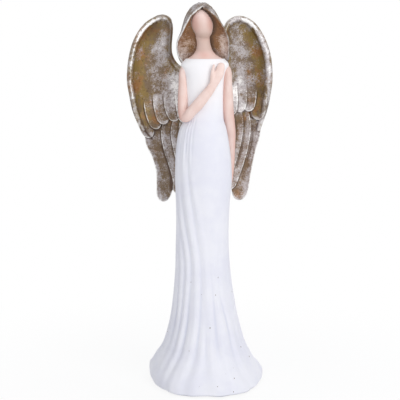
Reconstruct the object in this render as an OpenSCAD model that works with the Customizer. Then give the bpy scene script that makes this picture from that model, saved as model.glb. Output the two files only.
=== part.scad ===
// Resin angel figurine: a faceless angel in a long pleated gown, with one hand on its heart.
// Millimetres. +Z is up, the figure faces -Y, and the origin is at the middle of the felt's underside.

/* [Gown] */
// Width of the hem
base_width = 94; // [80:1:115]
// Depth of the hem, front to back
base_depth = 78.5; // [66:0.5:94.5]
// How far the sides of the hem are drawn back
hem_draw_back = 24; // [16:1:29]
// Height of the knees above the felt
knee_height = 124; // [105:1:150]
// Width at the knees
knee_width = 41.4; // [34.4:0.2:50]
// Depth at the knees
knee_depth = 31; // [25.5:0.5:37.5]
// Distance from the knees up to the hips
knee_to_hip = 41; // [35:1:50]
// Width at the hips
hip_width = 44.6; // [37:0.2:53.6]
// Depth at the hips
hip_depth = 33; // [27.5:0.5:40]
// Distance from the hips up to the waist
hip_to_waist = 57; // [47:1:69]
// Width at the waist
waist_width = 25.2; // [21:0.2:30]
// Depth at the waist
waist_depth = 19; // [15.5:0.5:23]
// Distance from the waist up to the shoulders
waist_to_shoulder = 31; // [26:1:38]
// Width across the shoulders of the gown
shoulder_width = 36.2; // [30:0.2:43.6]
// Depth at the shoulders
shoulder_depth = 18.5; // [15:0.5:22.5]
// Distance from the shoulders up to the neckline
shoulder_rise = 3.5; // [3:0.1:4.2]
// Width of the neckline
neckline_width = 30; // [25:0.2:33]
// Depth of the neckline, front to back
neckline_depth = 16; // [13:0.5:17]
// Depth of the pleats at the hem
pleat_depth = 3; // [0:0.1:4]

/* [Base] */
// Thickness of the felt pad
felt_thickness = 0.8; // [0.6:0.1:2]
// Distance from the hem in to the edge of the felt
felt_inset = 5; // [4:0.1:8]

/* [Head] */
// Height of the bare chest and the neck, from the neckline to the chin
neck_height = 15; // [12.5:0.5:18]
// Width of the neck
neck_width = 10.2; // [8.5:0.1:11.5]
// Height of the face, chin to crown
face_height = 23.2; // [19.5:0.1:27.5]
// Width of the face
face_width = 16.4; // [13.7:0.1:19.6]
// Depth of the head, front to back
face_depth = 18; // [15:0.1:21]

/* [Hair] */
// Thickness of the hair over the crown
hair_crown = 3.4; // [2.8:0.1:5]
// Width of the hair at its fullest, beside the neck
hair_width = 41.6; // [34.6:0.2:50]
// Depth of the hair behind the head's axis
hair_back = 12.6; // [11.5:0.1:15]
// Thickness of the hair's front rims
rim_thickness = 3; // [2.5:0.1:4]
// Angle of each front rim from straight back
rim_angle = 106; // [96:1:120]

/* [Arms] */
// Thickness of the upper arms
upper_arm = 7; // [5.8:0.1:8.2]
// Thickness of the bent elbow
elbow = 8; // [6.6:0.1:9.6]
// Thickness of the straight elbow
straight_elbow = 8.8; // [7.3:0.1:10.6]
// Thickness of the wrists
wrist = 4.9; // [4.4:0.1:5.9]
// Width of the hand on the heart
hand_width = 8; // [6.6:0.1:9.6]
// Thickness of the hands
hand_thickness = 4; // [3.3:0.1:4.8]

/* [Wings] */
// Reach of the right wing from the body's middle plane
right_wing_reach = 61; // [50.5:0.5:73.5]
// Reach of the left wing from the body's middle plane
left_wing_reach = 52; // [43:0.5:62.5]
// Height of the wings, tip to top
wing_height = 148; // [123:1:178]
// Distance from the upper wing pin up to the top of the wings
wing_rise = 55; // [46:1:66]
// Thickness of the wings at the root
wing_root = 6.5; // [5.5:0.1:8]
// Thickness of the wings at the rolled outer rim
wing_rim = 4; // [3.3:0.1:4.8]
// How far the wings bow backwards between root and rim
wing_bow = 5; // [3:0.5:6]
// Distance of the wings' front from the body's middle, at the wing seats
wing_seat = 12; // [11.6:0.1:14]

/* [Joints] */
// Diameter of the steel pins
pin_diameter = 2.5; // [2:0.1:3]
// Length of the neck pin
neck_pin_length = 18; // [14:1:21]
// Length of each arm pin
arm_pin_length = 10; // [8:0.5:12]
// Length of each wing pin
wing_pin_length = 11; // [9:0.5:13]
// Distance of the wing pins from the middle plane
wing_pin_side = 8.5; // [7.5:0.1:10]
// Distance between the two pins of a wing
wing_pin_pitch = 24; // [18:1:28]
// Diameter of the round seats that the wings are glued to
wing_seat_diameter = 8; // [6:0.1:9]
// Gap that the glue fills between two castings
glue_gap = 0.3; // [0.2:0.05:0.4]
// Gap around each pin
pin_gap = 0.1; // [0.05:0.05:0.2]

/* [Hidden] */

gown_white = [0.90, 0.90, 0.94];
skin = [0.90, 0.78, 0.73];
antique = [0.55, 0.48, 0.38];
steel = [0.7, 0.7, 0.72];

gown_sides = 72;
head_sides = 36;
arm_sides = 16;
round_sides = 48;
overshoot = 1;

// Heights above the surface that the felt rests on.
hem_z = felt_thickness;
knee_z = hem_z + knee_height;
hip_z = knee_z + knee_to_hip;
waist_z = hip_z + hip_to_waist;
shoulder_z = waist_z + waist_to_shoulder;
neckline_z = shoulder_z + shoulder_rise;
chin_z = neckline_z + neck_height;
face_z = chin_z + face_height / 2;
crown_z = chin_z + face_height;

// A station of the body: height, half width, half depth, middle x, middle y,
// how far back its sides are drawn, and the depth of its pleats.
hem_station = [hem_z, base_width / 2, base_depth / 2, 0, -1.2, hem_draw_back, pleat_depth];
knee_station = [knee_z, knee_width / 2, knee_depth / 2, -2.4, 0, 0, 0.3];
hip_station = [hip_z, hip_width / 2, hip_depth / 2, -1.6, 0, 0, 0];
waist_station = [waist_z, waist_width / 2, waist_depth / 2, -0.2, 0, 0, 0];
shoulder_station = [shoulder_z, shoulder_width / 2, shoulder_depth / 2, -0.4, 0, 0, 0];
neckline_station = [neckline_z, neckline_width / 2, neckline_depth / 2, -0.2, 0, 0, 0];

// How the outline runs from one station to the next: share of the height, share of the change.
skirt_curve = [[0, 0], [0.17, 0.28], [0.27, 0.51], [0.4, 0.71], [0.53, 0.84], [0.73, 0.955]];
thigh_curve = [[0, 0], [0.5, 0.55]];
hip_curve = [[0, 0], [0.23, 0.06], [0.38, 0.13], [0.58, 0.3], [0.67, 0.44], [0.78, 0.71], [0.9, 0.97]];
chest_curve = [[0, 0], [0.54, 0.15], [0.7, 0.22], [0.82, 0.38], [0.92, 0.85]];

function between(lower, upper, curve) = [
    for (step = curve) [
        lower[0] + (upper[0] - lower[0]) * step[0],
        for (i = [1 : len(lower) - 1]) lower[i] + (upper[i] - lower[i]) * step[1],
    ]
];

body_stations = concat(
    between(hem_station, knee_station, skirt_curve),
    between(knee_station, hip_station, thigh_curve),
    between(hip_station, waist_station, hip_curve),
    between(waist_station, shoulder_station, chest_curve),
    [shoulder_station, neckline_station]
);

// Where each pleat lies around the skirt: angle from +X, and half its width in degrees.
pleats = [
    [215, 7], [226, 6], [239, 7], [260, 8], [290, 8], [318, 8], [328, 6],
    [12, 9], [50, 9], [90, 9], [130, 9], [168, 9],
];

// The smooth curve through a list of stations, read at one height.
function span(stations, z, i = 0) =
    i >= len(stations) - 2 || z < stations[i + 1][0] ? i : span(stations, z, i + 1);
function hermite(p, q, slope_p, slope_q, t) =
    (2 * t ^ 3 - 3 * t ^ 2 + 1) * p + (t ^ 3 - 2 * t ^ 2 + t) * slope_p
    + (3 * t ^ 2 - 2 * t ^ 3) * q + (t ^ 3 - t ^ 2) * slope_q;
function at(stations, z) =
    let (
        i = span(stations, z),
        p = stations[i],
        q = stations[i + 1],
        before = stations[max(i - 1, 0)],
        after = stations[min(i + 2, len(stations) - 1)],
        height = q[0] - p[0],
        slope_p = (q - before) * height / (q[0] - before[0]),
        slope_q = (after - p) * height / (after[0] - p[0])
    )
    hermite(p, q, slope_p, slope_q, (z - p[0]) / height);
function body(z) = at(body_stations, z);

function groove(angle) = max([
    for (pleat = pleats)
        let (away = abs((angle - pleat[0] + 540) % 360 - 180) / pleat[1])
        away < 2 ? exp(-away * away) : 0
]);

// One level ring of the body, drawn in by inset, with or without its pleats.
function body_ring(station, inset = 0, pleated = true) = [
    for (i = [0 : gown_sides - 1])
        let (
            angle = 360 * i / gown_sides,
            dip = inset + (pleated ? station[6] * groove(angle) : 0)
        )
        [
            station[3] + (station[1] - dip) * cos(angle),
            station[4] + (station[2] - dip) * sin(angle) + station[5] * cos(angle) ^ 4,
            station[0],
        ]
];
function flat(ring) = [for (p = ring) [p[0], p[1]]];
function back_y(z) = body(z)[4] + body(z)[2];

// A point beside the body at one height and angle, standing off its surface.
function beside(z, angle, off) =
    let (station = body(z))
    [
        station[3] + (station[1] + off) * cos(angle),
        station[4] + (station[2] + off) * sin(angle),
        z,
    ];

// Solids from rings of points. Each ring runs anticlockwise seen from its far end.
function mean_point(ring) = [for (p = ring) 1] * ring / len(ring);
function wall_faces(count, sides) = [
    for (i = [0 : count - 2], j = [0 : sides - 1])
        let (a = i * sides + j, b = i * sides + (j + 1) % sides)
        each [[a, a + sides, b + sides], [a, b + sides, b]]
];

module loft(rings) {
    count = len(rings);
    sides = len(rings[0]);
    first = count * sides;
    polyhedron(
        points = [for (ring = rings) each ring, mean_point(rings[0]), mean_point(rings[count - 1])],
        faces = concat(
            wall_faces(count, sides),
            [for (j = [0 : sides - 1]) [first, j, (j + 1) % sides]],
            [for (j = [0 : sides - 1]) [first + 1, first - sides + (j + 1) % sides, first - sides + j]]
        )
    );
}

// A thin plate from sections, each with its front points out to the edge and its back points in again.
module shell(sections) {
    count = len(sections);
    sides = len(sections[0]);
    half = sides / 2;
    last = (count - 1) * sides;
    polyhedron(
        points = [for (section = sections) each section],
        faces = concat(
            wall_faces(count, sides),
            [
                for (j = [0 : half - 2])
                    each [[j, j + 1, sides - 2 - j], [j, sides - 2 - j, sides - 1 - j]]
            ],
            [
                for (j = [0 : half - 2])
                    each [
                        [last + j, last + sides - 2 - j, last + j + 1],
                        [last + j, last + sides - 1 - j, last + sides - 2 - j],
                    ]
            ]
        )
    );
}

// A limb along a path of rows: x, y, z, half its width, half its thickness front to back.
function unit(v) = v / norm(v);
function limb_ring(rows, i) =
    let (
        here = rows[i],
        before = rows[max(i - 1, 0)],
        after = rows[min(i + 1, len(rows) - 1)],
        along = unit([for (k = [0 : 2]) after[k] - before[k]]),
        across = unit(cross(along, [0, 1, 0])),
        through = cross(along, across)
    )
    [
        for (j = [0 : arm_sides - 1])
            let (angle = 360 * j / arm_sides)
            [for (k = [0 : 2]) here[k]]
            + across * here[3] * cos(angle) + through * here[4] * sin(angle)
    ];
module limb(rows) {
    loft([for (i = [0 : len(rows) - 1]) limb_ring(rows, i)]);
}

// A limb's row beside the body: height, angle round the body, extra stand-off, half width, half thickness.
function limb_row(z, angle, lift, half_width, half_thickness) =
    concat(
        beside(z, angle, glue_gap + lift + (abs(cos(angle)) > 0.6 ? half_width : half_thickness)),
        [half_width, half_thickness]
    );

module pin(length) {
    cylinder(d = pin_diameter, h = length, center = true, $fn = round_sides);
}
module pin_hole(length) {
    cylinder(d = pin_diameter + 2 * pin_gap, h = length + 2 * pin_gap, center = true, $fn = round_sides);
}

// Where the pins lie.
neck_x = -1.1;
neck_pin_z = neckline_z - 1;
arm_pin_z = shoulder_z - 10;
arm_pin_share = 0.6;
wing_pin_z = shoulder_z - 17;
module at_neck_pin() {
    translate([neck_x, 0, neck_pin_z]) children();
}
module at_arm_pin(side) {
    seat = beside(arm_pin_z, side > 0 ? 0 : 180, glue_gap / 2);
    translate(seat + [-side * arm_pin_length * (arm_pin_share - 0.5), 0, 0]) rotate([0, 90, 0]) children();
}
module at_wing_pins(side) {
    for (step = [0, 1])
        translate([side * wing_pin_side, wing_seat - wing_pin_length * 0.17, wing_pin_z - step * wing_pin_pitch])
            rotate([90, 0, 0])
                children();
}

// Gown: one solid casting, with round seats at its back for the wings.
gown_rows = 44;
function gown_rings() = [
    for (i = [0 : gown_rows])
        let (share = i / gown_rows, z = hem_z + (neckline_z - hem_z) * (0.75 * share + 0.25 * share ^ 2))
        body_ring(body(z))
];
module gown() {
    color(gown_white)
        difference() {
            union() {
                loft(gown_rings());
                for (side = [-1, 1], step = [0, 1])
                    translate([side * wing_pin_side, 2, wing_pin_z - step * wing_pin_pitch])
                        rotate([-90, 0, 0])
                            cylinder(d = wing_seat_diameter, h = wing_seat - 2, $fn = round_sides);
            }
            at_neck_pin() pin_hole(neck_pin_length);
            for (side = [-1, 1]) {
                at_arm_pin(side) pin_hole(arm_pin_length);
                at_wing_pins(side) pin_hole(wing_pin_length);
            }
        }
}

// Head: the bare chest, the neck and a smooth face with no features, in one casting.
head_x = -2.3;
head_y = -1;
chest_rows = [
    // share of the neck's height, half width, half depth, middle x, middle y
    [0, neckline_width / 2 - 1, neckline_depth / 2 - 1, -0.2, 0],
    [0.12, neckline_width / 2 - 3, neckline_depth / 2 - 1.8, -0.6, 0],
    [0.26, neck_width / 2 + 3, neck_width / 2 + 0.8, neck_x, 0],
    [0.5, neck_width / 2 + 0.7, neck_width / 2 + 0.2, neck_x, 0],
    [0.75, neck_width / 2, neck_width / 2, neck_x - 0.3, -0.2],
    [1, neck_width / 2 - 0.2, neck_width / 2, neck_x - 0.8, -0.4],
    [1.3, neck_width / 2, neck_width / 2 + 0.8, head_x, head_y],
];
chest_top = 7;
function ellipse(x, y, z, half_width, half_depth) = [
    for (i = [0 : head_sides - 1])
        let (angle = 360 * i / head_sides)
        [x + half_width * cos(angle), y + half_depth * sin(angle), z]
];
module head() {
    chest = [
        for (i = [0 : 2 * chest_top - 1])
            let (row = at(chest_rows, i / (2 * chest_top)))
            ellipse(row[3], row[4], neckline_z + glue_gap + row[0] * (neck_height - glue_gap), row[1], row[2])
    ];
    face = [
        for (angle = [-52 : 8 : 84])
            ellipse(head_x, head_y, face_z + face_height / 2 * sin(angle),
                face_width / 2 * cos(angle), face_depth / 2 * cos(angle))
    ];
    color(skin)
        difference() {
            loft(concat(chest, face));
            at_neck_pin() pin_hole(neck_pin_length);
        }
}

// Hair: a hood over the crown, parted at the front, that falls to the shoulders.
hair_sections = 26;
hair_rows = 16;
crown_gap = 0.8;
nape_gap = 0.9;
hair_top_z = crown_z + crown_gap + hair_crown;
hair_end_z = neckline_z + 2;
hair_fall = hair_top_z - hair_end_z;
hair_outline = [
    // share of the way down, share of the fall, share of the half width, share of the half depth
    [0, 0, 0, 0],
    [0.08, 0.02, 0.22, 0.36],
    [0.16, 0.06, 0.38, 0.58],
    [0.28, 0.2, 0.59, 0.82],
    [0.4, 0.35, 0.73, 0.94],
    [0.52, 0.5, 0.85, 0.98],
    [0.64, 0.64, 0.97, 1],
    [0.76, 0.78, 1, 1],
    [0.88, 0.9, 0.97, 0.97],
    [1, 1, 0.92, 0.92],
];
function polar(half_width, half_depth, angle) =
    half_width * half_depth == 0
        ? 0
        : half_width * half_depth / norm([half_depth * sin(angle), half_width * cos(angle)]);
function hair_point(radius, angle, z) = [head_x + radius * sin(angle), head_y + radius * cos(angle), z];
function hair_outer(step, angle) =
    let (row = at(hair_outline, step))
    hair_point(
        polar(row[2] * hair_width / 2, row[3] * (hair_back - head_y), angle), angle,
        hair_top_z - row[1] * hair_fall
    );
// Half the head's width and depth at one height, wide enough that the hair clears the chest too.
function head_half(z) =
    let (
        up = (z - face_z) / (face_height / 2 + crown_gap),
        round = sqrt(max(0, 1 - up * up)),
        chest = at(chest_rows, max(0, (z - neckline_z) / neck_height)),
        aside = abs(chest[3] - head_x) + nape_gap,
        behind = abs(chest[4] - head_y) + nape_gap
    )
    z > chin_z + face_height * 0.3
        ? [face_width / 2 * round + glue_gap, face_depth / 2 * round + glue_gap]
        : [
            max(chest[1] + aside, face_width / 2 * round + glue_gap),
            max(chest[2] + behind, face_depth / 2 * round + glue_gap),
        ];
function hair_inner(step, angle) =
    let (
        turn = 90 - 150 * step,
        dome_z = face_z + (face_height / 2 + crown_gap) * sin(turn),
        drop = min(1, max(0, (step - 0.6) / 0.4)),
        z = step < 0.6 ? dome_z : face_z + drop * (hair_end_z - face_z),
        half = step == 0 ? [0, 0] : head_half(z),
        close = polar(half[0], half[1], angle),
        outer = hair_outer(step, angle),
        reach = norm([outer[0] - head_x, outer[1] - head_y]) - rim_thickness,
        open = drop * min(1, max(0, (abs(angle) - 40) / (rim_angle - 40)))
    )
    hair_point(step == 0 ? 0 : close + open * max(0, reach - close), angle, z);
module hair() {
    function outer_at(k, j) = j == 0 ? 0 : 2 + k * 2 * hair_rows + j - 1;
    function inner_at(k, j) = j == 0 ? 1 : 2 + k * 2 * hair_rows + hair_rows + j - 1;
    function strip(a, b, c, d) = a == b ? [[a, c, d]] : c == d ? [[a, b, c]] : [[a, b, c], [a, c, d]];
    angles = [for (k = [0 : hair_sections]) rim_angle * (2 * k / hair_sections - 1)];
    color(antique)
        polyhedron(
            points = [
                hair_outer(0, 0),
                hair_inner(0, 0),
                for (angle = angles)
                    each concat(
                        [for (j = [1 : hair_rows]) hair_outer(j / hair_rows, angle)],
                        [for (j = [1 : hair_rows]) hair_inner(j / hair_rows, angle)]
                    ),
            ],
            faces = concat(
                [
                    for (k = [0 : hair_sections - 1], j = [0 : hair_rows - 1])
                        each strip(outer_at(k + 1, j), outer_at(k, j), outer_at(k, j + 1), outer_at(k + 1, j + 1))
                ],
                [
                    for (k = [0 : hair_sections - 1], j = [0 : hair_rows - 1])
                        each strip(inner_at(k, j), inner_at(k + 1, j), inner_at(k + 1, j + 1), inner_at(k, j + 1))
                ],
                [
                    for (k = [0 : hair_sections - 1])
                        each strip(outer_at(k + 1, hair_rows), outer_at(k, hair_rows),
                            inner_at(k, hair_rows), inner_at(k + 1, hair_rows))
                ],
                [
                    for (j = [0 : hair_rows - 1])
                        each strip(outer_at(0, j), inner_at(0, j), inner_at(0, j + 1), outer_at(0, j + 1))
                ],
                [
                    for (j = [0 : hair_rows - 1])
                        each strip(inner_at(hair_sections, j), outer_at(hair_sections, j),
                            outer_at(hair_sections, j + 1), inner_at(hair_sections, j + 1))
                ]
            )
        );
}

// Right arm: down the side to the elbow, then across the chest to the heart.
module right_arm() {
    upper = upper_arm / 2;
    bend = elbow / 2;
    arm_top = shoulder_z - 4.6;
    color(skin)
        difference() {
            limb([
                limb_row(arm_top, 180, 1.6, upper * 0.45, upper * 0.45),
                limb_row(arm_top - 1.5, 180, 1, upper * 0.85, upper * 0.85),
                limb_row(arm_top - 4, 180, 0.5, upper, upper),
                limb_row(waist_z + 13, 182, 0, upper, upper),
                limb_row(waist_z + 5, 187, 0, upper, upper),
                limb_row(waist_z - 2, 194, 0.1, upper * 1.03, upper * 1.03),
                limb_row(waist_z - 7, 203, 0.4, bend * 0.98, bend * 0.98),
                limb_row(waist_z - 9.5, 213, 0.6, bend, bend),
                limb_row(waist_z - 8, 222, 0.6, bend, bend),
                limb_row(waist_z - 3.5, 231, 0.3, bend * 0.97, bend * 0.97),
                limb_row(waist_z + 5, 253, 0, bend * 0.83, bend * 0.83),
                limb_row(waist_z + 11, 272, 0, wrist / 2 * 1.15, wrist / 2 * 1.15),
                limb_row(waist_z + 17, 287, 0, wrist / 2, wrist / 2),
                limb_row(shoulder_z - 9.5, 300, 0.2, hand_width / 2, hand_thickness / 2),
                limb_row(shoulder_z - 5, 306, 0.8, hand_width / 2 * 0.95, hand_thickness / 2),
                limb_row(shoulder_z - 1, 309, 0.8, hand_width / 2 * 0.7, hand_thickness / 2 * 0.8),
                limb_row(shoulder_z + 0.5, 309, 0.9, hand_width / 2 * 0.3, hand_thickness / 2 * 0.5),
            ]);
            at_arm_pin(-1) pin_hole(arm_pin_length);
        }
}

// Left arm: straight down, with the hand slipped behind the hip.
module left_arm() {
    upper = upper_arm / 2;
    bend = straight_elbow / 2;
    arm_top = shoulder_z - 4.6;
    color(skin)
        difference() {
            limb([
                limb_row(arm_top, 0, 1.6, upper * 0.45, upper * 0.45),
                limb_row(arm_top - 1.5, 0, 1, upper * 0.85, upper * 0.85),
                limb_row(arm_top - 4, 0, 0.5, upper, upper),
                limb_row(waist_z + 14, 2, 0.2, upper, upper),
                limb_row(waist_z + 2, 9, 0.1, bend, bend),
                limb_row(waist_z - 11, 21, 0.3, bend * 0.97, bend * 0.97),
                limb_row(waist_z - 23, 26, 0.2, bend * 0.84, bend * 0.84),
                limb_row(waist_z - 36, 27, 0, wrist / 2 * 1.15, wrist / 2 * 1.15),
                limb_row(waist_z - 46, 29, 0, wrist / 2, wrist / 2),
                limb_row(waist_z - 54, 33, 0.9, hand_thickness / 2, hand_width / 2 * 0.75),
                limb_row(waist_z - 63, 33, 1.1, hand_thickness / 2 * 0.9, hand_width / 2 * 0.7),
                limb_row(waist_z - 69, 32, 1.1, hand_thickness / 2 * 0.4, hand_width / 2 * 0.3),
            ]);
            at_arm_pin(1) pin_hole(arm_pin_length);
        }
}

// Wings: rows of share of the height, then the inner and the outer edge as shares of the reach.
right_wing_outline = [
    [0, 0.56, 0.59], [0.012, 0.5, 0.62], [0.035, 0.45, 0.635], [0.08, 0.38, 0.635], [0.16, 0.31, 0.645],
    [0.25, 0.22, 0.69], [0.34, 0.14, 0.78], [0.42, 0.09, 0.865], [0.5, 0.07, 0.94], [0.58, 0.07, 0.98],
    [0.65, 0.075, 1], [0.7, 0.2, 1], [0.735, 0.33, 0.995], [0.78, 0.41, 0.98], [0.84, 0.435, 0.95],
    [0.89, 0.425, 0.9], [0.93, 0.415, 0.84], [0.965, 0.41, 0.765], [0.985, 0.43, 0.7], [1, 0.5, 0.6],
];
left_wing_outline = [
    [0, 0.5, 0.53], [0.012, 0.45, 0.59], [0.035, 0.42, 0.62], [0.08, 0.36, 0.64], [0.16, 0.28, 0.68],
    [0.25, 0.19, 0.735], [0.34, 0.12, 0.79], [0.42, 0.09, 0.855], [0.5, 0.08, 0.925], [0.58, 0.08, 0.97],
    [0.65, 0.09, 1], [0.7, 0.14, 1], [0.735, 0.21, 0.99], [0.78, 0.25, 0.97], [0.84, 0.25, 0.935],
    [0.89, 0.25, 0.89], [0.93, 0.26, 0.82], [0.965, 0.3, 0.73], [0.985, 0.35, 0.66], [1, 0.45, 0.55],
];
wing_rows = 34;
wing_steps = 14;
wing_low_z = wing_pin_z + wing_rise - wing_height;
// The wings' front stands clear of the hips and the hands below the seats.
function wing_front(z) = max(wing_seat + glue_gap, back_y(min(z, neckline_z)) + 2 * glue_gap);
function wing_section(outline, reach, share) =
    let (
        row = at(outline, share),
        z = wing_low_z + share * wing_height,
        width = (row[2] - row[1]) * reach,
        thin = min(1, 0.35 + width / 20)
    )
    concat(
        [for (i = [0 : wing_steps]) wing_point(row, reach, z, i / wing_steps, 0)],
        [for (i = [0 : wing_steps]) wing_point(row, reach, z, 1 - i / wing_steps, thin)]
    );
function wing_point(row, reach, z, across, thick) =
    let (
        x = (row[1] + (row[2] - row[1]) * across) * reach,
        out = max(0, (x - 13) / (reach - 13)),
        bow = wing_bow * (1.9 * sin(150 * out) - 1.25 * out),
        edge = sqrt(max(0.06, 1 - abs(2 * across - 1) ^ 5)),
        thickness = (wing_root + (wing_rim - wing_root) * min(1, 1.5 * out)) * edge
    )
    [x, wing_front(z) + bow + thick * thickness, z];
function wing_share(i) =
    let (t = i / wing_rows)
    0.5 - 0.5 * cos(180 * t) * (0.6 + 0.4 * abs(cos(180 * t)));
module wing(outline, reach) {
    shell([for (i = [0 : wing_rows]) wing_section(outline, reach, wing_share(i))]);
}
module right_wing() {
    color(antique)
        difference() {
            mirror([1, 0, 0]) wing(right_wing_outline, right_wing_reach);
            at_wing_pins(-1) pin_hole(wing_pin_length);
        }
}
module left_wing() {
    color(antique)
        difference() {
            wing(left_wing_outline, left_wing_reach);
            at_wing_pins(1) pin_hole(wing_pin_length);
        }
}

module neck_pin() {
    color(steel) at_neck_pin() pin(neck_pin_length);
}
module arm_pins() {
    color(steel) for (side = [-1, 1]) at_arm_pin(side) pin(arm_pin_length);
}
module wing_pins() {
    color(steel) for (side = [-1, 1]) at_wing_pins(side) pin(wing_pin_length);
}

// Felt pad: glued under the gown.
module felt_pad() {
    color([0.25, 0.2, 0.18])
        linear_extrude(height = felt_thickness)
            polygon(flat(body_ring(hem_station, felt_inset, false)));
}

gown();
head();
hair();
right_arm();
left_arm();
right_wing();
left_wing();
neck_pin();
arm_pins();
wing_pins();
felt_pad();
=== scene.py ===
"""A resin angel figurine: a white pleated gown, a blank face, and leafed wings and hair.

Lengths in the shape code are millimetres; a mesh is turned to metres when it is made.
"""

import math
from types import SimpleNamespace

import bmesh
import bpy
import numpy as np
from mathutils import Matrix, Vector


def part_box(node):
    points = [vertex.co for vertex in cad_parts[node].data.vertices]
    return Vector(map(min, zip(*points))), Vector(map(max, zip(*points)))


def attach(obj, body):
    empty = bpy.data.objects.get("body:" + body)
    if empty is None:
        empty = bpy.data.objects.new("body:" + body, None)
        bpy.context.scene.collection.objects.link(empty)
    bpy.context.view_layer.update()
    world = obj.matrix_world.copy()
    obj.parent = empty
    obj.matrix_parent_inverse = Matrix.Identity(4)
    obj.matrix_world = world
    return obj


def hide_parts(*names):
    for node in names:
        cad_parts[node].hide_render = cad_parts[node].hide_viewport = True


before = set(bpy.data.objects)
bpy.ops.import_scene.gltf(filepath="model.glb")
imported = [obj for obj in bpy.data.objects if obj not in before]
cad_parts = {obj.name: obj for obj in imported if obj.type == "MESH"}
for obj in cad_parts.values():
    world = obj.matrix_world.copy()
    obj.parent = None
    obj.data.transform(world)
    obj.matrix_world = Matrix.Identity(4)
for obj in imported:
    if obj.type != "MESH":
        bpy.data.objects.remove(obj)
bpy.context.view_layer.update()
MM = 0.001


# ---------------------------------------------------------------- the frame

def box_mm(node):
    low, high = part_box(node)
    return low / MM, high / MM


gown_low, gown_high = box_mm("gown")
hair_low, hair_high = box_mm("hair")
hem_z, neckline_z = gown_low.z, gown_high.z
gown_height = neckline_z - hem_z


# ---------------------------------------------------------------- curves

def smooth(low, high, value):
    t = min(1.0, max(0.0, (value - low) / (high - low)))
    return t * t * (3 - 2 * t)


def mix(a, b, share):
    return a + (b - a) * share


def bump(value, middle, width):
    return math.exp(-(((value - middle) / width) ** 2))


def soft(low, high, values):
    """smooth() for an array."""
    t = np.clip((values - low) / (high - low), 0, 1)
    return t * t * (3 - 2 * t)


def peak(values, middle, width):
    """bump() for an array."""
    return np.exp(-(((values - middle) / width) ** 2))


def along(rows, s):
    """The smooth curve through rows of numbers, read where the first number is s."""
    s = min(max(s, rows[0][0]), rows[-1][0])
    i = 0
    while i < len(rows) - 2 and s > rows[i + 1][0]:
        i += 1
    p, q = rows[i], rows[i + 1]
    before, after = rows[max(i - 1, 0)], rows[min(i + 2, len(rows) - 1)]
    length = q[0] - p[0]
    t = (s - p[0]) / length
    values = []
    for k in range(1, len(p)):
        slope_p = (q[k] - before[k]) * length / (q[0] - before[0])
        slope_q = (after[k] - p[k]) * length / (after[0] - p[0])
        values.append(
            (2 * t**3 - 3 * t**2 + 1) * p[k]
            + (t**3 - 2 * t**2 + t) * slope_p
            + (3 * t**2 - 2 * t**3) * q[k]
            + (t**3 - t**2) * slope_q
        )
    return values


def rows_by_length(points):
    """Rows for along(): each point led by its share of the whole length."""
    total = [0.0]
    for p, q in zip(points, points[1:]):
        total.append(total[-1] + math.dist(p[:3], q[:3]))
    return [[length / total[-1], *point] for length, point in zip(total, points)]


def line_points(rows, count=200):
    """Evenly spaced x and height along a roll's rows."""
    path = rows_by_length([[row[0], 0.0, row[1]] for row in rows])
    return np.array([[p[0], p[2]] for p in (along(path, i / (count - 1)) for i in range(count))])


def from_line(points, x, z):
    """For arrays of points: distance from a line, the share along it, and the side of it, 1 for its left."""
    near = np.empty(len(x), dtype=int)
    batch = 20000
    for start in range(0, len(x), batch):
        part = slice(start, start + batch)
        gaps = (points[:, 0] - x[part, None]) ** 2 + (points[:, 1] - z[part, None]) ** 2
        near[part] = gaps.argmin(axis=1)
    distance = np.hypot(points[near, 0] - x, points[near, 1] - z)
    a, b = points[np.maximum(near - 1, 0)], points[np.minimum(near + 1, len(points) - 1)]
    side = (b[:, 0] - a[:, 0]) * (z - a[:, 1]) - (b[:, 1] - a[:, 1]) * (x - a[:, 0])
    return distance, near / (len(points) - 1), np.sign(side)


def is_within(outline, x, z):
    """For arrays of points: whether each lies inside a closed outline."""
    inside = np.zeros(len(x), dtype=bool)
    for (x0, z0), (x1, z1) in zip(outline, np.roll(outline, -1, axis=0)):
        if z0 != z1:
            crosses = (z0 > z) != (z1 > z)
            inside ^= crosses & (x < (x1 - x0) * (z - z0) / (z1 - z0) + x0)
    return inside


# ---------------------------------------------------------------- making meshes

def wrap(columns, rows, place):
    """A grid whose points are moved to place(u, v), u and v from 0 to 1, with its seams welded."""
    bm = bmesh.new()
    bmesh.ops.create_grid(bm, x_segments=columns, y_segments=rows, size=0.5)
    for v in bm.verts:
        v.co = place(v.co.x + 0.5, v.co.y + 0.5)
    bmesh.ops.remove_doubles(bm, verts=bm.verts, dist=5e-3)
    bmesh.ops.holes_fill(bm, edges=bm.edges, sides=0)
    bmesh.ops.recalc_face_normals(bm, faces=bm.faces)
    return bm


def to_object(name, bm, node=None, material=None):
    bmesh.ops.scale(bm, vec=(MM, MM, MM), verts=bm.verts)
    mesh = bpy.data.meshes.new(name)
    bm.to_mesh(mesh)
    bm.free()
    obj = bpy.data.objects.new(name, mesh)
    bpy.context.scene.collection.objects.link(obj)
    if material:
        mesh.materials.append(material)
    mesh.shade_smooth()
    if node:
        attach(obj, "root")
        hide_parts(node)
    return obj


def merge_into(bm, other):
    """Adds the faces of other to bm."""
    mesh = bpy.data.meshes.new("part")
    other.to_mesh(mesh)
    other.free()
    bm.from_mesh(mesh)
    bpy.data.meshes.remove(mesh)


def soften(bm, rounds):
    for _ in range(rounds):
        bmesh.ops.smooth_vert(bm, verts=bm.verts, factor=0.5, use_axis_x=True, use_axis_y=True, use_axis_z=True)


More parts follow.
